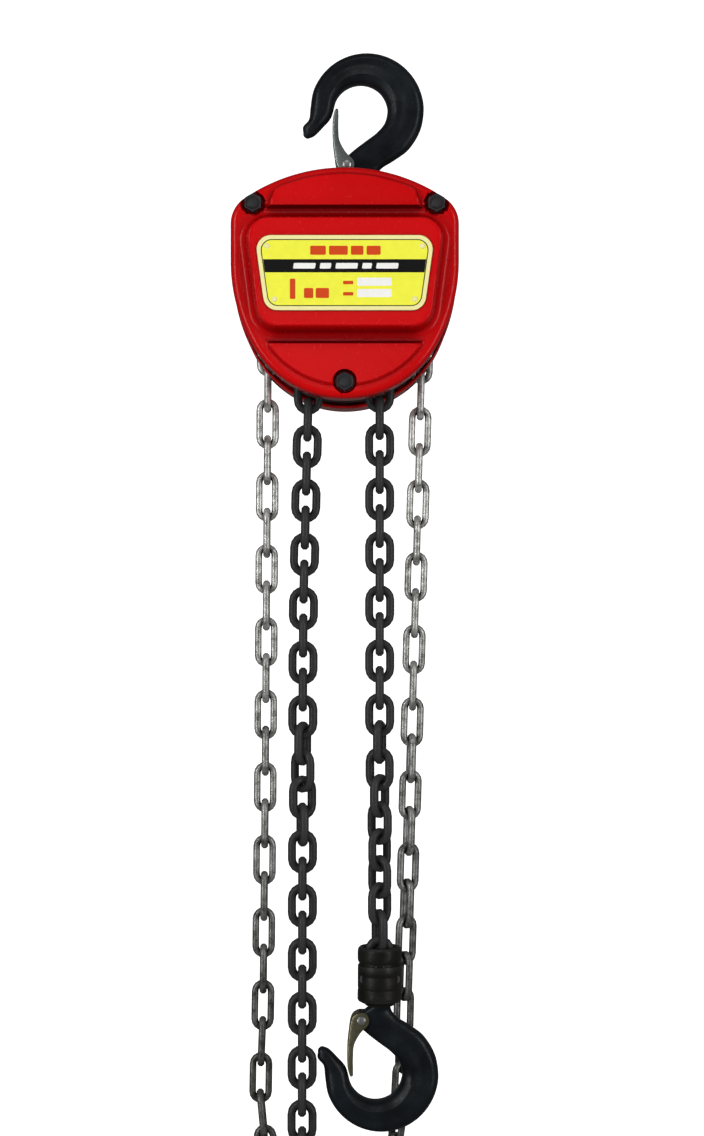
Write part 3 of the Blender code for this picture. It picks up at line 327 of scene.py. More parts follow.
def smooth(points, steps):
    """A Catmull-Rom curve through tuples of numbers, of any length."""
    points = [tuple(p) for p in points]
    ends = [tuple(2 * a - b for a, b in zip(points[0], points[1]))] + points
    ends.append(tuple(2 * a - b for a, b in zip(points[-1], points[-2])))
    made = []
    for a, b, c, d in zip(ends, ends[1:], ends[2:], ends[3:]):
        for k in range(steps):
            t = k / steps
            point = []
            for p, q, r, s in zip(a, b, c, d):
                square, cube = 2 * p - 5 * q + 4 * r - s, 3 * q - p - 3 * r + s
                point.append(0.5 * (2 * q + (r - p) * t + square * t * t + cube * t**3))
            made.append(tuple(point))
    made.append(points[-1])
    return made


# ---------------------------------------------------------------- chains
class Chain:
    def __init__(self, wire, pitch, wide):
        self.wire, self.pitch, self.wide = wire, pitch, wide


LOAD = Chain(6 * MM, 18 * MM, 20 * MM)
HAND_CHAIN = Chain(5 * MM, 25 * MM, 16 * MM)
AROUND_WIRE, END_STEPS = 8, 8


def link_line(chain):
    """Centre line of one link along its own X axis, lying in the plane of X and Y."""
    radius = (chain.wide - chain.wire) / 2
    straight = (chain.pitch + chain.wire) / 2 - radius
    points = []
    for side in (1, -1):
        for i in range(END_STEPS + 1):
            a = -math.pi / 2 + math.pi * i / END_STEPS
            points.append((side * (straight + radius * math.cos(a)), side * radius * math.sin(a),
                           side * math.cos(a), side * math.sin(a)))
    return points


def add_link(bm, chain, centre, along, across):
    """One link: along its pull, and flat in the plane of along and across."""
    up = along.cross(across).normalized()
    across = up.cross(along).normalized()
    loops = []
    for x, y, nx, ny in link_line(chain):
        spine = centre + along * x + across * y
        out = along * nx + across * ny
        loop = []
        for k in range(AROUND_WIRE):
            a = math.tau * (k + 0.5) / AROUND_WIRE
            loop.append(spine + (out * math.cos(a) + up * math.sin(a)) * chain.wire / 2)
        loops.append([bm.verts.new(p) for p in loop])
    for near, far in zip(loops, loops[1:] + loops[:1]):
        for j in range(AROUND_WIRE):
            k = (j + 1) % AROUND_WIRE
            bm.faces.new((near[j], far[j], far[k], near[k]))


def lengths(path):
    made = [0.0]
    for a, b in zip(path, path[1:]):
        made.append(made[-1] + (b - a).length)
    return made


def at_length(path, run, s):
    """The point a length s along the path, carried straight on past its ends."""
    if s <= 0:
        return path[0] + (path[1] - path[0]).normalized() * s
    if s >= run[-1]:
        return path[-1] + (path[-1] - path[-2]).normalized() * (s - run[-1])
    low, high = 0, len(run) - 1
    while high - low > 1:
        mid = (low + high) // 2
        if run[mid] <= s:
            low = mid
        else:
            high = mid
    share = (s - run[low]) / (run[high] - run[low])
    return path[low].lerp(path[high], share)


def lay_chain(name, chain, path, mat, first, roll, side=Vector((1, 0, 0)), until=None):
    """Links along a path, one link centre at the length first and every pitch from it. roll gives
    each link's turn about the path, in quarter turns, from its number and centre."""
    run = lengths(path)
    bm = bmesh.new()
    index = -int(first / chain.pitch)
    s = first + index * chain.pitch
    until = run[-1] if until is None else until
    while s <= until + chain.pitch * 0.02:
        near = at_length(path, run, s - chain.pitch / 2)
        far = at_length(path, run, s + chain.pitch / 2)
        centre = (near + far) / 2
        along = (far - near).normalized()
        across = (side - along * side.dot(along)).normalized()
        turn = roll(index, centre) * math.pi / 2
        across = Matrix.Rotation(turn, 3, along) @ across
        add_link(bm, chain, centre, along, across)
        index += 1
        s += chain.pitch
    return make_object(name, bm, mat, 60, tidy=False)


def bend(path):
    return [Vector(p) for p in smooth(path, 6)]


# Way points, as in the CAD source: they lean a little, as the falls hang
FALL_TOP = SHAFT.z - 0.030
HAND_TOP = SHAFT.z - 0.040
HAND_EXIT = 0.053
LIVE_X = BLOCK_AT.x
SLACK_ROUTE = [(0, 0), (-0.0034, -0.14), (-0.0048, -0.22), (-0.0053, -0.44), (-0.0055, -0.5617)]
HAND_LEFT_ROUTE = [
    (0, 0), (-0.001, -0.15), (-0.002, -0.30), (-0.0035, -0.45), (-0.0045, -0.53), (0.0100, -0.5917),
]
HAND_RIGHT_ROUTE = [
    (0, 0), (-0.004, -0.15), (-0.008, -0.30), (-0.0125, -0.45), (-0.0155, -0.53), (-0.0300, -0.5917),
]
SHEAVE_RADIUS = 23.74 * MM
SLACK_X = SHAFT.x - SHEAVE_RADIUS + 0.6 * MM
WHEEL_RADIUS = 56.23 * MM
LIFT = 16 * LOAD.pitch  # the lift from the stored pose to the upper limit: two sheave turns


def fall(start, route):
    return [start + Vector((x, 0, z)) for x, z in route]


def over(radius, y, top, exit_x):
    """From the left exit up over a wheel to the right exit."""
    points = [(-exit_x, top - SHAFT.z), (-(exit_x + radius) / 2, (top - SHAFT.z) / 2)]
    arc = [(radius * math.cos(a), radius * math.sin(a)) for a in
           (math.pi * (1 - i / 24) for i in range(25))]
    points += arc + [(-x, z) for x, z in reversed(points)]
    return [SHAFT + Vector((x, y, z)) for x, z in points]


def serpentine(cells, centre, top, bottom):
    """Up and down runs through the cells of a hank, joined by half turns."""
    points = []
    for i, (x, y) in enumerate(cells):
        p = centre + Vector((x, y, 0))
        ends = [top, bottom] if i % 2 == 0 else [bottom, top]
        for k in range(9):
            points.append(Vector((p.x, p.y, ends[0] + (ends[1] - ends[0]) * k / 8)))
        if i + 1 < len(cells):
            q = centre + Vector((*cells[i + 1], 0))
            radius = (q - p).length / 2
            out = 1 if ends[1] == top else -1
            for k in range(1, 8):
                a = math.pi * k / 8
                mid = (p + q) / 2 + (p - q) / 2 * math.cos(a)
                points.append(Vector((mid.x, mid.y, ends[1] + out * 1.5 * radius * math.sin(a))))
    return points


def quarter(index, centre):
    return index % 2


def twist(first, last, amount):
    """Alternate links, with an extra turn that grows between two heights and stays below."""
    def roll(index, centre):
        share = (first - centre.z) / (first - last)
        share = min(max(share, 0.0), 1.0)
        return index % 2 + amount * share * share * (3 - 2 * share)
    return roll


def live_roll(pin_z):
    """The link on the pin lies across it. Above it the fall is an eighth of a turn round."""
    def roll(index, centre):
        up = (centre.z - pin_z) / LOAD.pitch
        eighth = min(max((-0.41 - centre.z) / 0.09, 0.0), 1.0) * 0.5
        return 1 + index % 2 + eighth + 0.5 * min(max((2.4 - up) / 2, 0.0), 1.0)
    return roll


def make_load_chain():
    wrap = over(SHEAVE_RADIUS, 0, SHAFT.z - 0.014, LIVE_X - SHAFT.x)
    pin = middle("chain_pin")
    live_end = Vector((LIVE_X, 0, pin.z))
    live = wrap + [wrap[-1].lerp(live_end, (k + 1) / 24) for k in range(24)]
    run = lengths(live)
    last = run[-1] - 5.4 * MM
    piece = lay_chain("load_chain_live_links", LOAD, live, CHAIN, last, live_roll(pin.z), until=last)
    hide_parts("load_chain_live", "load_chain_wrap")
    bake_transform(piece)

    start = Vector((SLACK_X, 0, FALL_TOP))
    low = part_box("load_chain_hank")[1].z
    slack = [start + Vector((0, 0, 0.012))] + bend(fall(start, SLACK_ROUTE))
    slack += [slack[-1] + Vector((0, 0, -LIFT * k / 12)) for k in range(1, 13)]
    run = lengths(slack)
    face_on = slack[0].z + 0.2408
    piece = lay_chain("load_chain_slack_links", LOAD, slack, CHAIN, face_on, twist(-0.40, -0.52, 1.0))
    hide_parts("load_chain_slack")
    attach(piece, "frame")

    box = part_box("load_chain_hank")
    centre = (box[0] + box[1]) / 2
    top, bottom = low - 0.030, box[0].z + 0.024
    step, deep = 21 * MM, 10.3 * MM
    cells = [(-step, -deep), (-step, deep), (0, deep), (step, deep), (step, -deep)]
    lead = [Vector((centre.x, 0, low - 0.004)), Vector((centre.x - step * 0.5, -deep * 0.5, low - 0.018))]
    stored = lead + serpentine(cells, Vector((centre.x, 0, 0)), top, bottom)
    run = lengths(stored)
    piece = lay_chain("load_chain_hank_links", LOAD, stored, CHAIN, 6 * MM, quarter, Vector((0, 1, 0)))
    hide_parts("load_chain_hank")
    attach(piece, "slack_end")
    tie("load_hank_tie", box, 0.38, "slack_end")


def make_hand_chain():
    wrap = over(WHEEL_RADIUS, HAND_Y, HAND_TOP, HAND_EXIT)
    piece = lay_chain("hand_chain_wheel_links", HAND_CHAIN, wrap, HAND, 20.5 * MM, quarter, Vector((0, 1, 0)),
                      until=lengths(wrap)[-1] - 10 * MM)
    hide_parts("hand_chain_wrap")
    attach(piece, "frame")

    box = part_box("hand_chain_hank")
    centre = (box[0] + box[1]) / 2
    falls = []
    for side, route in ((-1, HAND_LEFT_ROUTE), (1, HAND_RIGHT_ROUTE)):
        start = SHAFT + Vector((side * HAND_EXIT, HAND_Y, -0.040))
        falls.append([start + Vector((0, 0, 0.008))] + bend(fall(start, route)))
    left, right = falls
    wide, deep = 18 * MM, 16.6 * MM
    half = [(-1.5, 0), (-1.5, 1), (-0.5, 1), (-0.5, 0), (-1.5, -1), (-0.5, -1)]
    cells = half + [(-x, y) for x, y in reversed(half)]
    cells = [(x * wide, y * deep) for x, y in cells]
    top, bottom = box[1].z - 0.026, box[0].z + 0.024
    first = left[0].z + 0.2225
    last = right[0].z + 0.2278
    whole = left + serpentine(cells, Vector((centre.x, HAND_Y, 0)), top, bottom) + right[::-1]
    spare = (lengths(whole)[-1] - first - last) % (2 * HAND_CHAIN.pitch)
    bottom += spare / len(cells)
    whole = left + serpentine(cells, Vector((centre.x, HAND_Y, 0)), top, bottom) + right[::-1]
    piece = lay_chain("hand_chain_links", HAND_CHAIN, whole, HAND, first, hand_roll)
    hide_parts("hand_chain_left", "hand_chain_right", "hand_chain_hank")
    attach(piece, "frame")
    tie("hand_hank_tie", box, 0.40, "frame")


def hand_roll(index, centre):
    """The right fall's links stand about an eighth of a turn round below the middle."""
    share = min(max((-0.40 - centre.z) / 0.20, 0.0), 1.0) if centre.x > -0.01 else 0.0
    return index % 2 + 0.35 * share


def tie(name, box, share, body):
    """A strap drawn round a hank. Its section is (thickness, height) in millimetres."""
    strap = [(0, -5), (1.2, -4.6), (1.4, 0), (1.2, 4.6), (0, 5)]
    low, high = box
    z = high.z + (low.z - high.z) * share
    centre = (low + high) / 2
    half_x, half_y = (high.x - low.x) / 2 - 1.6 * MM, (high.y - low.y) / 2 + 0.2 * MM
    points = []
    for i in range(64):
        a = math.tau * i / 64
        c, s = math.cos(a), math.sin(a)
        points.append((math.copysign(abs(c) ** 0.35, c), math.copysign(abs(s) ** 0.35, s)))
    sections = []
    for c, s in points:
        p = Vector((centre.x + half_x * c, centre.y + half_y * s, z))
        out = Vector((c / half_x, s / half_y, 0)).normalized()
        sections.append([p + out * (o * MM) + Vector((0, 0, h * MM)) for o, h in strap])
    bm = bmesh.new()
    loft_into(bm, sections, closed=True)
    band = make_object(name, bm, TIE, 50)
    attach(band, body)


# ---------------------------------------------------------------- outlines of the housing
FACE_Y, BOSS_Y, RIM_Y, REAR_Y = -45 * MM, -60 * MM, 21.3 * MM, 65 * MM
BOSS_TOP, BOSS_BOTTOM = 34 * MM, -42 * MM
TOP_RADIUS, TOP_CENTRE = 116 * MM, (0, -50 * MM)
STAYS = [(-59.4 * MM, 42.5 * MM), (59.4 * MM, 42.5 * MM), (0, -73 * MM)]


def arc(centre, radius, first, last, steps):
    angles = [first + (last - first) * i / steps for i in range(steps + 1)]
    return [(centre[0] + radius * math.cos(a), centre[1] + radius * math.sin(a)) for a in angles]


def body_outline(grow):
    """The housing's outline about the shaft: top arc, corners, long sides and bottom arc."""
    corner, side = (54 * MM, 29.4 * MM), (-36 * MM, 5 * MM)
    fine = 5
    join = math.atan2(corner[1] - TOP_CENTRE[1], corner[0])
    drop = 89 * MM
    tip_radius = ((110 * MM) ** 2 - side[0] ** 2 - drop ** 2) / (2 * (110 * MM - drop))
    tip = (0, tip_radius - 84 * MM)
    leave = math.atan2(tip[1] - side[1], tip[0] - side[0])
    right = arc(TOP_CENTRE, TOP_RADIUS + grow, math.pi / 2, join, 4 * fine)[:-1]
    right += arc(corner, 20 * MM + grow, join, 0, 4 * fine)
    right += arc(side, 110 * MM + grow, 0, leave, 4 * fine)[:-1]
    right += arc(tip, tip_radius + grow, leave, -math.pi / 2, 5 * fine)
    return right + [(-x, z) for x, z in right[-2:0:-1]]


def rounded(corners, radius, steps=10):
    points = []
    for i, here in enumerate(corners):
        here = Vector(here)
        back = (Vector(corners[i - 1]) - here).normalized()
        ahead = (Vector(corners[(i + 1) % len(corners)]) - here).normalized()
        half = back.angle(ahead) / 2
        centre = here + (back + ahead).normalized() * radius / math.sin(half)
        first = here + back * radius / math.tan(half) - centre
        turn = first.angle_signed(here + ahead * radius / math.tan(half) - centre)
        for k in range(steps + 1):
            points.append(tuple(centre + Matrix.Rotation(-turn * k / steps, 2) @ first))
    return points


def boss_outline(inset):
    wide = 67.5 * MM - inset
    narrow = wide - 10 * MM
    top, bottom = BOSS_TOP - inset, BOSS_BOTTOM + inset
    return rounded([(-wide, top), (wide, top), (narrow, bottom), (-narrow, bottom)], 16 * MM - inset)


def plateau_outline(inset):
    radius = TOP_RADIUS - 4 * MM - inset
    reach = math.asin((46 * MM - inset) / radius)
    top = arc(TOP_CENTRE, radius, math.pi / 2 + reach, math.pi / 2 - reach, 30)
    low = BOSS_TOP + 4.6 * MM + inset
    narrow = 51 * MM - inset
    return top + [(narrow, low), (-narrow, low)]


def lower_outline(inset):
    """The raised field below the boss, round the bottom nut."""
    top = BOSS_BOTTOM - 5 * MM - inset
    outer = sorted(p for p in body_outline(-7.5 * MM - inset) if p[1] < top - 1 * MM)
    return outer + [(outer[-1][0] + 0.6 * MM, top), (outer[0][0] - 0.6 * MM, top)]


def resample(points, step):
    """Points at even spaces round a closed outline."""
    ring = [Vector(p) for p in points]
    run = lengths(ring + ring[:1])
    count = max(8, round(run[-1] / step))
    return [at_length(ring + ring[:1], run, run[-1] * i / count) for i in range(count)]


def depth_inside(points, outline):
    """Distance of each point inside a closed outline, negative outside."""
    a = np.array(outline)
    b = np.roll(a, -1, axis=0)
    best = np.full(len(points), 1e9)
    inside = np.zeros(len(points), bool)
    for (ax, az), (bx, bz) in zip(a, b):
        ex, ez = bx - ax, bz - az
        px, pz = points[:, 0] - ax, points[:, 1] - az
        t = np.clip((px * ex + pz * ez) / max(ex * ex + ez * ez, 1e-18), 0, 1)
        best = np.minimum(best, np.hypot(px - t * ex, pz - t * ez))
        if az != bz:
            cross = (points[:, 1] > az) != (points[:, 1] > bz)
            inside ^= cross & (points[:, 0] < ax + (points[:, 1] - az) * ex / ez)
    return np.where(inside, best, -best)


def ease(value, low, high):
    t = np.clip((value - low) / (high - low), 0, 1)
    return t * t * (3 - 2 * t)


def cover_sheet(name, outline, edge_round, rings, height, face, rim, out, spacing=1.7 * MM, slots=()):
    """A pressed sheet: a face with relief over an outline, an eased edge and straight side walls."""
    fixed = []
    for r in rings:
        fixed += [tuple(p) for p in resample(r, 1.25 * MM)]
    edge = [tuple(p) for p in resample(outline, 1.5 * MM)]
    for inset in (0.12, 0.5, 1.1, 2.0, 3.2):
        shrunk = [(x * (1 - inset * MM / 70 / MM), z * (1 - inset * MM / 70 / MM)) for x, z in edge]
        fixed += shrunk
    low = np.array(edge).min(axis=0)
    high = np.array(edge).max(axis=0)
    xs = np.arange(low[0], high[0], spacing)
    zs = np.arange(low[1], high[1], spacing)
    grid = np.array([(x + (spacing / 2 if j % 2 else 0), z) for j, z in enumerate(zs) for x in xs])
    grid = grid[depth_inside(grid, edge) > 4.2 * MM]
    tree = KDTree(len(fixed))
    for i, (x, z) in enumerate(fixed):
        tree.insert((x, z, 0), i)
    tree.balance()
    grid = [p for p in grid if tree.find((p[0], p[1], 0))[2] > 0.9 * MM]
    points = edge + fixed + [tuple(p) for p in grid]
    count = len(edge)
    made = delaunay_2d_cdt([Vector(p) for p in points], [], [list(range(count))], 1, 1e-6)
    verts, faces = made[0], made[2]
    flat = np.array([tuple(v) for v in verts])
    inner = depth_inside(flat, edge)
    rise, keep = height(flat)
    into_edge = np.clip(edge_round - inner, 0, edge_round)
    drop = edge_round - np.sqrt(np.maximum(edge_round**2 - into_edge**2, 0))
    rise = rise - drop * keep
    bm = bmesh.new()
    made = [bm.verts.new((SHAFT.x + x, face + out * h, SHAFT.z + z)) for (x, z), h in zip(flat, rise)]
    for f in faces:
        bm.faces.new([made[i] for i in f])
    ring = made[:count]
    levels = [face - out * (edge_round + (abs(rim - face) - edge_round) * k / 8) for k in range(1, 9)]
    for y in levels:
        lower = [bm.verts.new((v.co.x, y, v.co.z)) for v in ring]
        for j in range(count):
            k = (j + 1) % count
            bm.faces.new((ring[j], ring[k], lower[k], lower[j]))
        ring = lower
    doomed = []
    for f in bm.faces:
        c = f.calc_center_median()
        if any(lo.x < c.x < hi.x and lo.y < c.y < hi.y and lo.z < c.z < hi.z for lo, hi in slots):
            doomed.append(f)
    bmesh.ops.delete(bm, geom=doomed, context="FACES")
    bmesh.ops.recalc_face_normals(bm, faces=bm.faces)
    top = max(bm.faces, key=lambda f: out * f.calc_center_median().y)
    if top.normal.y * out < 0:
        bmesh.ops.reverse_faces(bm, faces=bm.faces)
    sheet = make_object(name, bm, RED, 50, tidy=False)
    wall = sheet.modifiers.new("sheet", "SOLIDIFY")
    wall.thickness = 2 * MM
    wall.offset = -1
    return sheet


def gear_cover():
    def height(p):
        boss = depth_inside(p, boss_outline(0))
        raised = 15 * MM * (0.10 * ease(boss, -2.4 * MM, 0) + 0.90 * ease(boss, -0.3 * MM, 3.9 * MM))
        plate = depth_inside(p, plateau_outline(0))
        field = 4 * MM * ease(plate, -0.1 * MM, 1.9 * MM)
        lower = depth_inside(p, lower_outline(0))
        field += 3 * MM * ease(lower, -0.1 * MM, 1.9 * MM)
        made = np.maximum(raised, field)
        keep = np.ones(len(p))
        for x, z in STAYS:
            r = np.hypot(p[:, 0] - x, p[:, 1] - z)
            hole = 1 - ease(r, 6.6 * MM, 7.8 * MM)
            made = made * (1 - hole) - 5 * MM * hole
            keep *= 1 - hole
        return made, keep

    rings = [boss_outline(d * MM) for d in (-2.4, -1.2, -0.3, 0.5, 1.2, 1.9, 2.6, 3.3, 3.9, 4.8)]
    rings += [plateau_outline(d * MM) for d in (-0.1, 0.6, 1.2, 1.9)]
    rings += [lower_outline(d * MM) for d in (-0.1, 0.6, 1.2, 1.9)]
    rings += [arc(stay, r * MM, 0, math.tau, 40)[:-1] for stay in STAYS for r in (6.5, 7.1, 7.8)]
    inside = [r for r in rings if depth_inside(np.array(r), body_outline(0)).min() > 1 * MM]
    cover = cover_sheet("gear_cover_pressing", body_outline(0), 4.5 * MM, inside, height, FACE_Y, -RIM_Y, -1)
    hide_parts("gear_cover")
    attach(cover, "frame")


def wheel_cover():
    def height(p):
        rim = depth_inside(p, body_outline(-9 * MM))
        return -1.2 * MM * (1 - ease(rim, 0, 2 * MM)), 1.0

    slots = []
    for side in (-1, 1):
        near, far = 42 * MM, 80 * MM
        xs = sorted((SHAFT.x + side * near, SHAFT.x + side * far))
        slots.append((Vector((xs[0], 0.0365, -1)), Vector((xs[1], 0.0590, SHAFT.z - 0.036))))
    cover = cover_sheet("wheel_cover_pressing", body_outline(1.5 * MM), 5 * MM,
                        [body_outline(d * MM) for d in (-9, -10, -11)], height, REAR_Y, RIM_Y, 1,
                        spacing=3 * MM, slots=slots)
    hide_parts("wheel_cover")
    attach(cover, "frame")


# ---------------------------------------------------------------- name plate
def flat_piece(name, outline, y_front, y_back, mat, bevel=0.0):
    sections = [[(SHAFT.x + x, y_back, SHAFT.z + z) for x, z in outline],
                [(SHAFT.x + x, y_front, SHAFT.z + z) for x, z in outline]]
    piece = loft(name, sections, mat)
    if bevel:
        edge = piece.modifiers.new("edge", "BEVEL")
        edge.width = bevel
        edge.segments = 2
        edge.limit_method = "ANGLE"
    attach(piece, "frame")
    return piece


def name_plate():
    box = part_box("name_plate")
    top, bottom = box[1].z - SHAFT.z, box[0].z - SHAFT.z
    wide, slope = 57.6 * MM, 0.14

    def half_at(z, inset):
        return wide - slope * (top - z) - inset

    def shape(inset, radius):
        t, b = top - inset, bottom + inset
        high, low = half_at(t, inset), half_at(b, inset)
        return rounded([(-high, t), (high, t), (low, b), (-low, b)], radius, 8)

    def bar(x0, x1, z0, z1, radius, lean=0.0):
        return rounded([(x0 + lean, z1), (x1 + lean, z1), (x1, z0), (x0, z0)], radius, 3)

    y = box[0].y
    plate = flat_piece("name_plate_border", shape(0, 9 * MM), y, box[1].y, PALE, 0.2 * MM)
    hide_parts("name_plate")
    layer = 0.05 * MM
    flat_piece("name_plate_line", shape(2.6 * MM, 7 * MM), y - layer, y + layer, INK)
    flat_piece("name_plate_field", shape(3.2 * MM, 6.5 * MM), y - 2 * layer, y, YELLOW)
    band_top = top - 0.41 * (top - bottom) + 4.2 * MM
    band = [(-half_at(band_top, 3.3 * MM), band_top), (half_at(band_top, 3.3 * MM), band_top)]
    low = band_top - 8.4 * MM
    band += [(half_at(low, 3.3 * MM), low), (-half_at(low, 3.3 * MM), low)]
    flat_piece("name_plate_band", band, y - 3 * layer, y - layer, INK)
    marks = []
    edge = 2.4 * MM
    for x0, x1 in ((-33, -19), (-16, -9), (-6, 8), (11, 17), (20, 34)):
        outline = bar(x0 * MM, x1 * MM, low + edge, band_top - edge, 0.6 * MM, 0.6 * MM)
        marks.append(("white", outline, WHITE))
    for x0, x1 in ((-22, -12), (-10, 2), (4, 12), (14, 23)):
        outline = bar(x0 * MM, x1 * MM, band_top + 2.8 * MM, band_top + 8.6 * MM, 0.8 * MM)
        marks.append(("orange", outline, ORANGE))
    marks.append(("tall", bar(-35 * MM, -31.5 * MM, low - 17 * MM, low - 4 * MM, 0.8 * MM), ORANGE))
    for x0, x1 in ((-26, -20), (-18.5, -10)):
        marks.append(("short", bar(x0 * MM, x1 * MM, low - 16.4 * MM, low - 10 * MM, 0.8 * MM), ORANGE))
    for z in (low - 8.6 * MM, low - 15.8 * MM):
        marks.append(("fine", bar(-1 * MM, 5.5 * MM, z + 1.0 * MM, z + 3.2 * MM, 0.4 * MM), ORANGE))
        marks.append(("field", bar(8 * MM, 30 * MM, z, z + 5.2 * MM, 0.8 * MM), WHITE))
    for i, (kind, outline, mat) in enumerate(marks):
        flat_piece(f"name_plate_{kind}_{i}", outline, y - 4 * layer, y - layer, mat)
    for z in (top - 7 * MM, bottom + 7 * MM):
        for side in (-1, 1):
            at = Vector((SHAFT.x + side * half_at(z, 7 * MM), y, SHAFT.z + z))
            head = [(0, 0.3 * MM), (1.9 * MM, 0.3 * MM), (1.9 * MM, -0.15 * MM), (1.6 * MM, -0.55 * MM),
                    (0.9 * MM, -0.85 * MM), (0, -0.95 * MM)]
            rivet = turned(f"name_plate_rivet_{side}_{z:.3f}", head, PALE, at, 20, "Y")
            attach(rivet, "frame")


# ---------------------------------------------------------------- nuts and bolts
def nut(node, front):
    """A chamfered hexagon nut round a domed bolt end, in place of the CAD nut."""
    low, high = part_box(node)
    at = (low + high) / 2
    flats = high.z - low.z
    bore, thick = 3.9 * MM, high.y - low.y
    seat = high.y if front < 0 else low.y
    sections = []
    for kind in ("bore_low", "low", "rim", "top", "bore"):
        section = []
        for k in range(48):
            a = math.tau * k / 48
            hexa = flats / 2 / math.cos((a % (math.pi / 3)) - math.pi / 6)
            flat_r = flats / 2 * 0.96
            if kind in ("low", "rim"):
                r = hexa
            elif kind == "top":
                r = min(hexa, flat_r)
            else:
                r = bore
            rim = thick - max(0, hexa - flat_r) * 0.6 - 0.15 * MM
            heights = {"bore_low": 0, "low": 0, "rim": rim, "top": thick, "bore": thick - 0.5 * MM}
            y = seat + front * heights[kind]
            section.append((at.x + r * math.sin(a), y, at.z + r * math.cos(a)))
        sections.append(section)
    bm = bmesh.new()
    loft_into(bm, sections, closed=True)
    piece = make_object(node + "_hex", bm, NUT, 30)
    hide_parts(node)
    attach(piece, "frame")


def nuts():
    for name in ("left", "right", "bottom"):
        nut(f"front_nut_{name}", -1)
        nut(f"rear_nut_{name}", 1)


# ---------------------------------------------------------------- hooks, latches, pins
def hook_stations():
    """Inner edge, outer edge and half thickness from the tip to the neck, as in the CAD source."""
    made = [(-37.6, 35.4, -41.2, 31.9, 3.2), (-33.6, 33.6, -41.3, 27.6, 5.0), (-28.2, 28.2, -37.4, 22.8, 6.4),
            (-22.6, 21.6, -36.4, 15.0, 7.2)]
    for degrees in range(200, 361, 16):
        a = math.radians(degrees)
        share = math.sin(a - math.pi) ** 0.5 if degrees < 360 else 0
        made.append((-3 + 17.8 * math.cos(a), 17.8 + 17.8 * math.sin(a), 1.2 + 38 * math.cos(a),
                     17 + 38 * math.sin(a), 10 * (0.82 + 0.18 * share)))
    made += [(13.0, 25.5, 36.9, 30.0, 8.6), (7.5, 32.0, 29.4, 42.4, 7.8), (-0.5, 38.0, 19.5, 50.0, 6.8),
             (-8.5, 44.2, 12.0, 54.6, 6.0), (-15.2, 51.0, 8.6, 58.4, 5.6), (-15.0, 57.0, 7.4, 61.0, 5.6)]
    return made


def hook(name, up, at, shank, node, body):
    """shank lists (distance from the seat, radius) beyond the neck."""
    steps = 5
    rows = smooth(hook_stations(), steps)
    first = rows[0]
    sides = 36
    sections = []
    for scale, out in ((0.15, 1.3), (0.55, 1.05), (0.85, 0.5)):
        iu, iv, ou, ov, t = first
        mu, mv = (iu + ou) / 2, (iv + ov) / 2
        axis = Vector((-(ov - iv), ou - iu)).normalized()
        if axis.dot(Vector((-1, 0.6))) < 0:
            axis = -axis
        mu, mv = mu + axis.x * out, mv + axis.y * out
        du, dv = (ou - iu) / 2 * scale, (ov - iv) / 2 * scale
        sections.append((Vector((mu, mv)), Vector((du, dv)), t * scale, 0.0))
    for i, (iu, iv, ou, ov, t) in enumerate(rows):
        place = i / steps
        hollow = 0.20 * min(max((place - 3.0) / 3.0, 0), 1) * min(max((19.0 - place) / 4.0, 0), 1)
        sections.append((Vector((iu + ou, iv + ov)) / 2, Vector((ou - iu, ov - iv)) / 2, t, hollow))
    for v, radius in shank:
        sections.append((Vector((0, v)), Vector((radius, 0)), radius, 0.0))
    loops = []
    for middle_at, reach, thick, hollow in sections:
        loop = []
        for k in range(sides):
            a = math.tau * (k + 0.5) / sides
            c, s = math.cos(a), math.sin(a)
            power = 0.72 if hollow else (1.0 if thick == reach.length else 0.85)
            y = math.copysign(abs(s) ** power, s)
            ridge = 0.35 * math.exp(-((c + 0.42) / 0.10) ** 2)
            dent = hollow * (math.exp(-((c - 0.18) / 0.30) ** 2) - ridge)
            p = middle_at + reach * math.copysign(abs(c) ** 0.94, c)
            loop.append(at + Vector((p.x * MM, thick * y * (1 - dent) * MM, up * p.y * MM)))
        loops.append(loop)
    piece = loft(name, loops, HOOK, 40)
    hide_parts(node)
    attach(piece, body)


def latch(name, up, pin, node, body, mat):
    """Folded sheet: a web along the outer edge and two cheeks, round the pin."""
    rows = [
        (-7.0, -37.2, -6.2, -37.0), (-7.9, -36.2, -5.5, -36.0), (-9.2, -31, -5.6, -31),
        (-9.5, -24, -5.5, -24), (-9.3, -16, -4.8, -16), (-8.4, -8, -0.8, -8.5),
        (-7.4, -1, 4.6, -2.5), (-5.6, 3, 4.4, 2.8), (-2.6, 5, 2.2, 5),
    ]
    rows = smooth(rows, 4)
    sheet, half = 1.2, 7.6
    sections = []
    for eu, ev, iu, iv in rows:
        edge, inner = Vector((eu, ev)), Vector((iu, iv))
        along = (inner - edge)
        long = along.length
        along.normalize()
        fold = min(1.8, long * 0.4)
        web = min(sheet, long * 0.4)
        shape = [(long, half), (fold, half), (fold * 0.3, half - fold * 0.3), (0, half - fold),
                 (0, -half + fold), (fold * 0.3, -half + fold * 0.3), (fold, -half), (long, -half),
                 (long, -half + sheet), (web + 0.6, -half + sheet), (web, -half + sheet + 0.6),
                 (web, half - sheet - 0.6), (web + 0.6, half - sheet), (long, half - sheet)]
        if long < web + 0.8:
            shape = [(min(w, long), y) for w, y in shape]
        section = []
        for w, y in shape:
            p = edge + along * w
            section.append(pin + Vector((p.x * MM, y * MM, up * p.y * MM)))
        sections.append(section)
    piece = loft(name, sections, mat, 40)
    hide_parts(node)
    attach(piece, body)


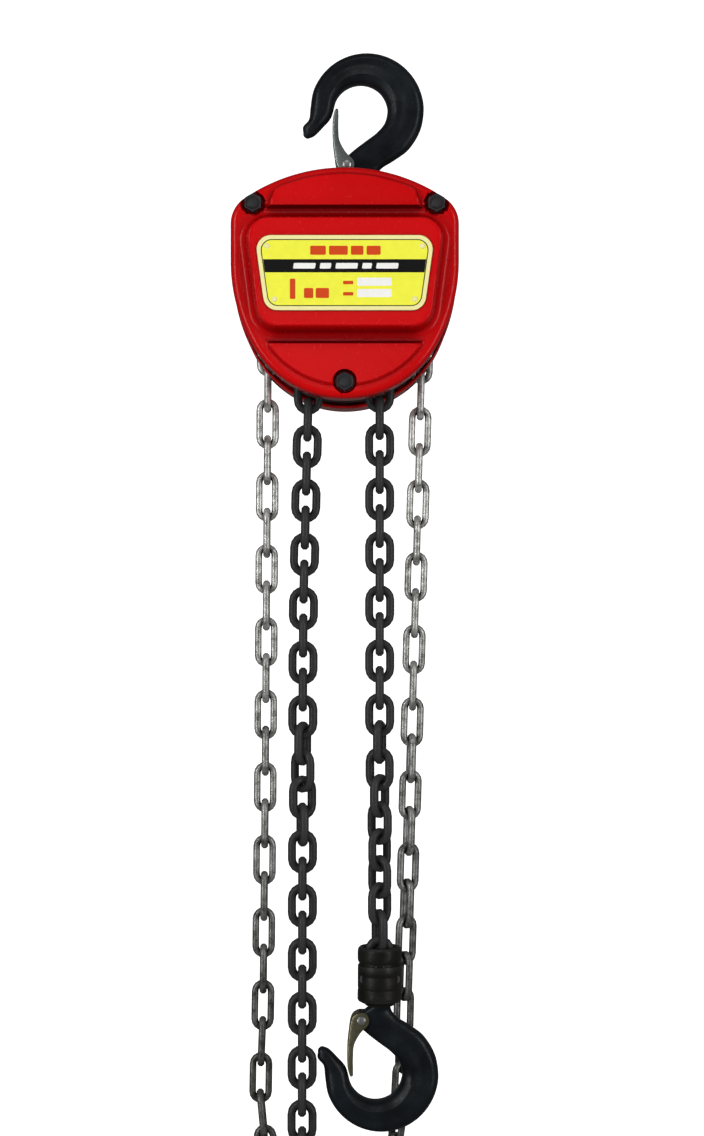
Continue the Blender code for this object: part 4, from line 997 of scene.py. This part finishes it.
def rivet_pin(name, pin, node, body):
    profile = [(0, -9.3), (1.6, -9.2), (2.7, -8.7), (3.0, -8.0), (2.9, -7.85), (1.8, -7.8)]
    profile = profile + [(r, -y) for r, y in reversed(profile)]
    piece = turned(name, [(r * MM, y * MM) for r, y in profile], STEEL, pin, 28, "Y")
    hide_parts(node)
    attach(piece, body)


def hooks():
    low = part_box("top_yoke")[0].z
    nut_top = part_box("top_hook_nut")[0].z
    thread, end = -low / MM, -nut_top / MM
    shank = [(62.5, 7), (thread - 1, 7), (thread - 0.6, 6), (end - 0.6, 6), (end, 5.4)]
    hook("top_hook_forging", -1, Vector((0, 0, 0)), shank, "top_hook", "suspension_hook")
    latch("top_latch_sheet", -1, Vector((TOP_PIN.x, 0, TOP_PIN.z)), "top_latch", "top_latch_body", TOP_LATCH)
    rivet_pin("top_latch_rivet", Vector((TOP_PIN.x, 0, TOP_PIN.z)), "top_latch_pin", "suspension_hook")
    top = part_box("load_hook")[1].z - LOAD_SEAT.z
    shank = [(62.5, 7), (top / MM - 7.5, 7), (top / MM - 7.4, 10.3), (top / MM, 10.3)]
    hook("load_hook_forging", 1, LOAD_SEAT, shank, "load_hook", "swivel_hook")
    pin = Vector((LOAD_PIN.x, 0, LOAD_PIN.z))
    latch("load_latch_sheet", 1, pin, "load_latch", "load_latch_body", LOAD_LATCH)
    rivet_pin("load_latch_rivet", pin, "load_latch_pin", "swivel_hook")


# ---------------------------------------------------------------- bottom block
def bottom_block():
    profile = [
        (7.5, 0.2), (8.6, 0.0), (9.6, 0.5), (9.9, 1.3), (12.4, 2.4), (14.2, 3.4), (14.8, 4.4), (14.85, 6.4),
        (14.7, 10.6), (14.5, 11.2), (14.4, 11.8), (14.6, 12.4), (14.65, 13.4), (14.65, 20.2), (14.45, 20.5),
        (14.65, 20.8), (14.6, 26.8), (14.3, 27.4), (13.7, 27.6), (13.7, 29.2), (14.3, 29.6), (14.6, 30.6),
        (14.7, 31.6), (14.7, 36.6), (14.3, 38.2), (13.3, 39.3), (12.2, 39.5), (11.2, 39.1), (10.6, 38.0),
        (10.4, 36.0), (10.4, 16.2), (1.0, 16.2), (1.0, 15.3), (11.0, 15.3), (11.0, 6.6), (7.5, 6.6),
    ]
    profile = [(r * MM, z * MM) for r, z in profile]
    for side, name in ((-1, "front"), (1, "rear")):
        at = BLOCK_AT + Vector((0, side * 0.12 * MM, 0))
        start = math.pi if side < 0 else 0
        piece = turned(f"block_half_{name}", profile, BLOCK, at, 40, "Z", start, math.pi)
        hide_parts(f"block_shell_{name}")
        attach(piece, "load_block")


# ---------------------------------------------------------------- the other CAD pieces
def other_pieces():
    finishes = {
        PLATE: ["front_side_plate", "rear_side_plate", "top_yoke", "chain_stripper"],
        NUT: ["stay_bolt_left", "stay_bolt_right", "stay_bolt_bottom"],
        BLOCK: ["chain_pin", "block_bolt_left", "block_bolt_right"],
        STEEL: ["top_hook_nut", "shaft_nut", "gear_retaining_ring", "pawl_pin_left", "pawl_pin_right",
                "guide_roller_left", "guide_roller_right"],
        GEAR: ["drive_shaft", "disc_gear_left", "disc_gear_right", "pinion_shaft_left", "pinion_shaft_right",
               "load_gear", "load_sheave", "brake_hub", "ratchet_disc", "pawl_left", "pawl_right",
               "sheave_bearing_front", "sheave_bearing_rear"],
        LINING: ["friction_disc_front", "friction_disc_rear"],
        WHEEL: ["hand_wheel"],
    }
    bevels = {
        "front_side_plate": 0.5, "rear_side_plate": 0.5, "top_yoke": 1.6, "hand_wheel": 0.6,
        "load_sheave": 0.5, "top_hook_nut": 0.5, "chain_stripper": 0.5,
    }
    for mat, names in finishes.items():
        for name in names:
            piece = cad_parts[name]
            piece.data.materials.clear()
            piece.data.materials.append(mat)
            if name in bevels:
                edge = piece.modifiers.new("edge", "BEVEL")
                edge.width = bevels[name] * MM
                edge.segments = 3
                edge.limit_method = "ANGLE"
                edge.angle_limit = math.radians(40)


# ---------------------------------------------------------------- stage
def area_light(name, at, aim, size, power, glossy=True):
    data = bpy.data.lights.new(name, "AREA")
    data.shape = "RECTANGLE"
    data.size, data.size_y = size
    data.energy = power
    lamp = bpy.data.objects.new(name, data)
    lamp.location = at
    lamp.rotation_euler = (Vector(aim) - Vector(at)).to_track_quat("-Z", "Y").to_euler()
    lamp.visible_glossy = glossy
    scene.collection.objects.link(lamp)


def make_stage():
    world = bpy.data.worlds.new("studio")
    world.use_nodes = True
    shade = world.node_tree.nodes["Background"]
    shade.inputs["Color"].default_value = (1, 1, 1, 1)
    shade.inputs["Strength"].default_value = 0.09
    scene.world = world
    scene.view_settings.view_transform = "Standard"
    area_light("key", (-0.1, -2.0, -0.2), (0, 0, -0.35), (0.5, 0.8), 20, glossy=False)
    area_light("right", (1.1, -1.0, -0.2), (0, 0, -0.4), (0.16, 1.4), 5)
    area_light("left", (-1.1, -1.0, -0.2), (0, 0, -0.4), (0.16, 1.4), 6)
    area_light("top", (0.0, -1.2, 1.1), (0, 0, -0.2), (0.8, 0.2), 1.5)
    white, tree, shader, place = node_kit("backdrop")
    cloud = noise(tree, place, 3, 3)
    tree.links.new(ramp(tree, cloud, [(0.3, (0.99,) * 3), (0.7, (1.0,) * 3)]), shader.inputs["Base Color"])
    shader.inputs["Roughness"].default_value = 0.9
    shader.inputs["Specular IOR Level"].default_value = 0.1
    shader.inputs["Emission Color"].default_value = (1, 1, 1, 1)
    shader.inputs["Emission Strength"].default_value = 1.2
    bm = bmesh.new()
    bmesh.ops.create_icosphere(bm, subdivisions=3, radius=12)
    wall = make_object("backdrop", bm, white)
    wall.visible_glossy = False
    wall.visible_diffuse = False
    wall.visible_shadow = False


make_camera()
make_load_chain()
make_hand_chain()
gear_cover()
wheel_cover()
name_plate()
nuts()
hooks()
bottom_block()
other_pieces()
make_stage()
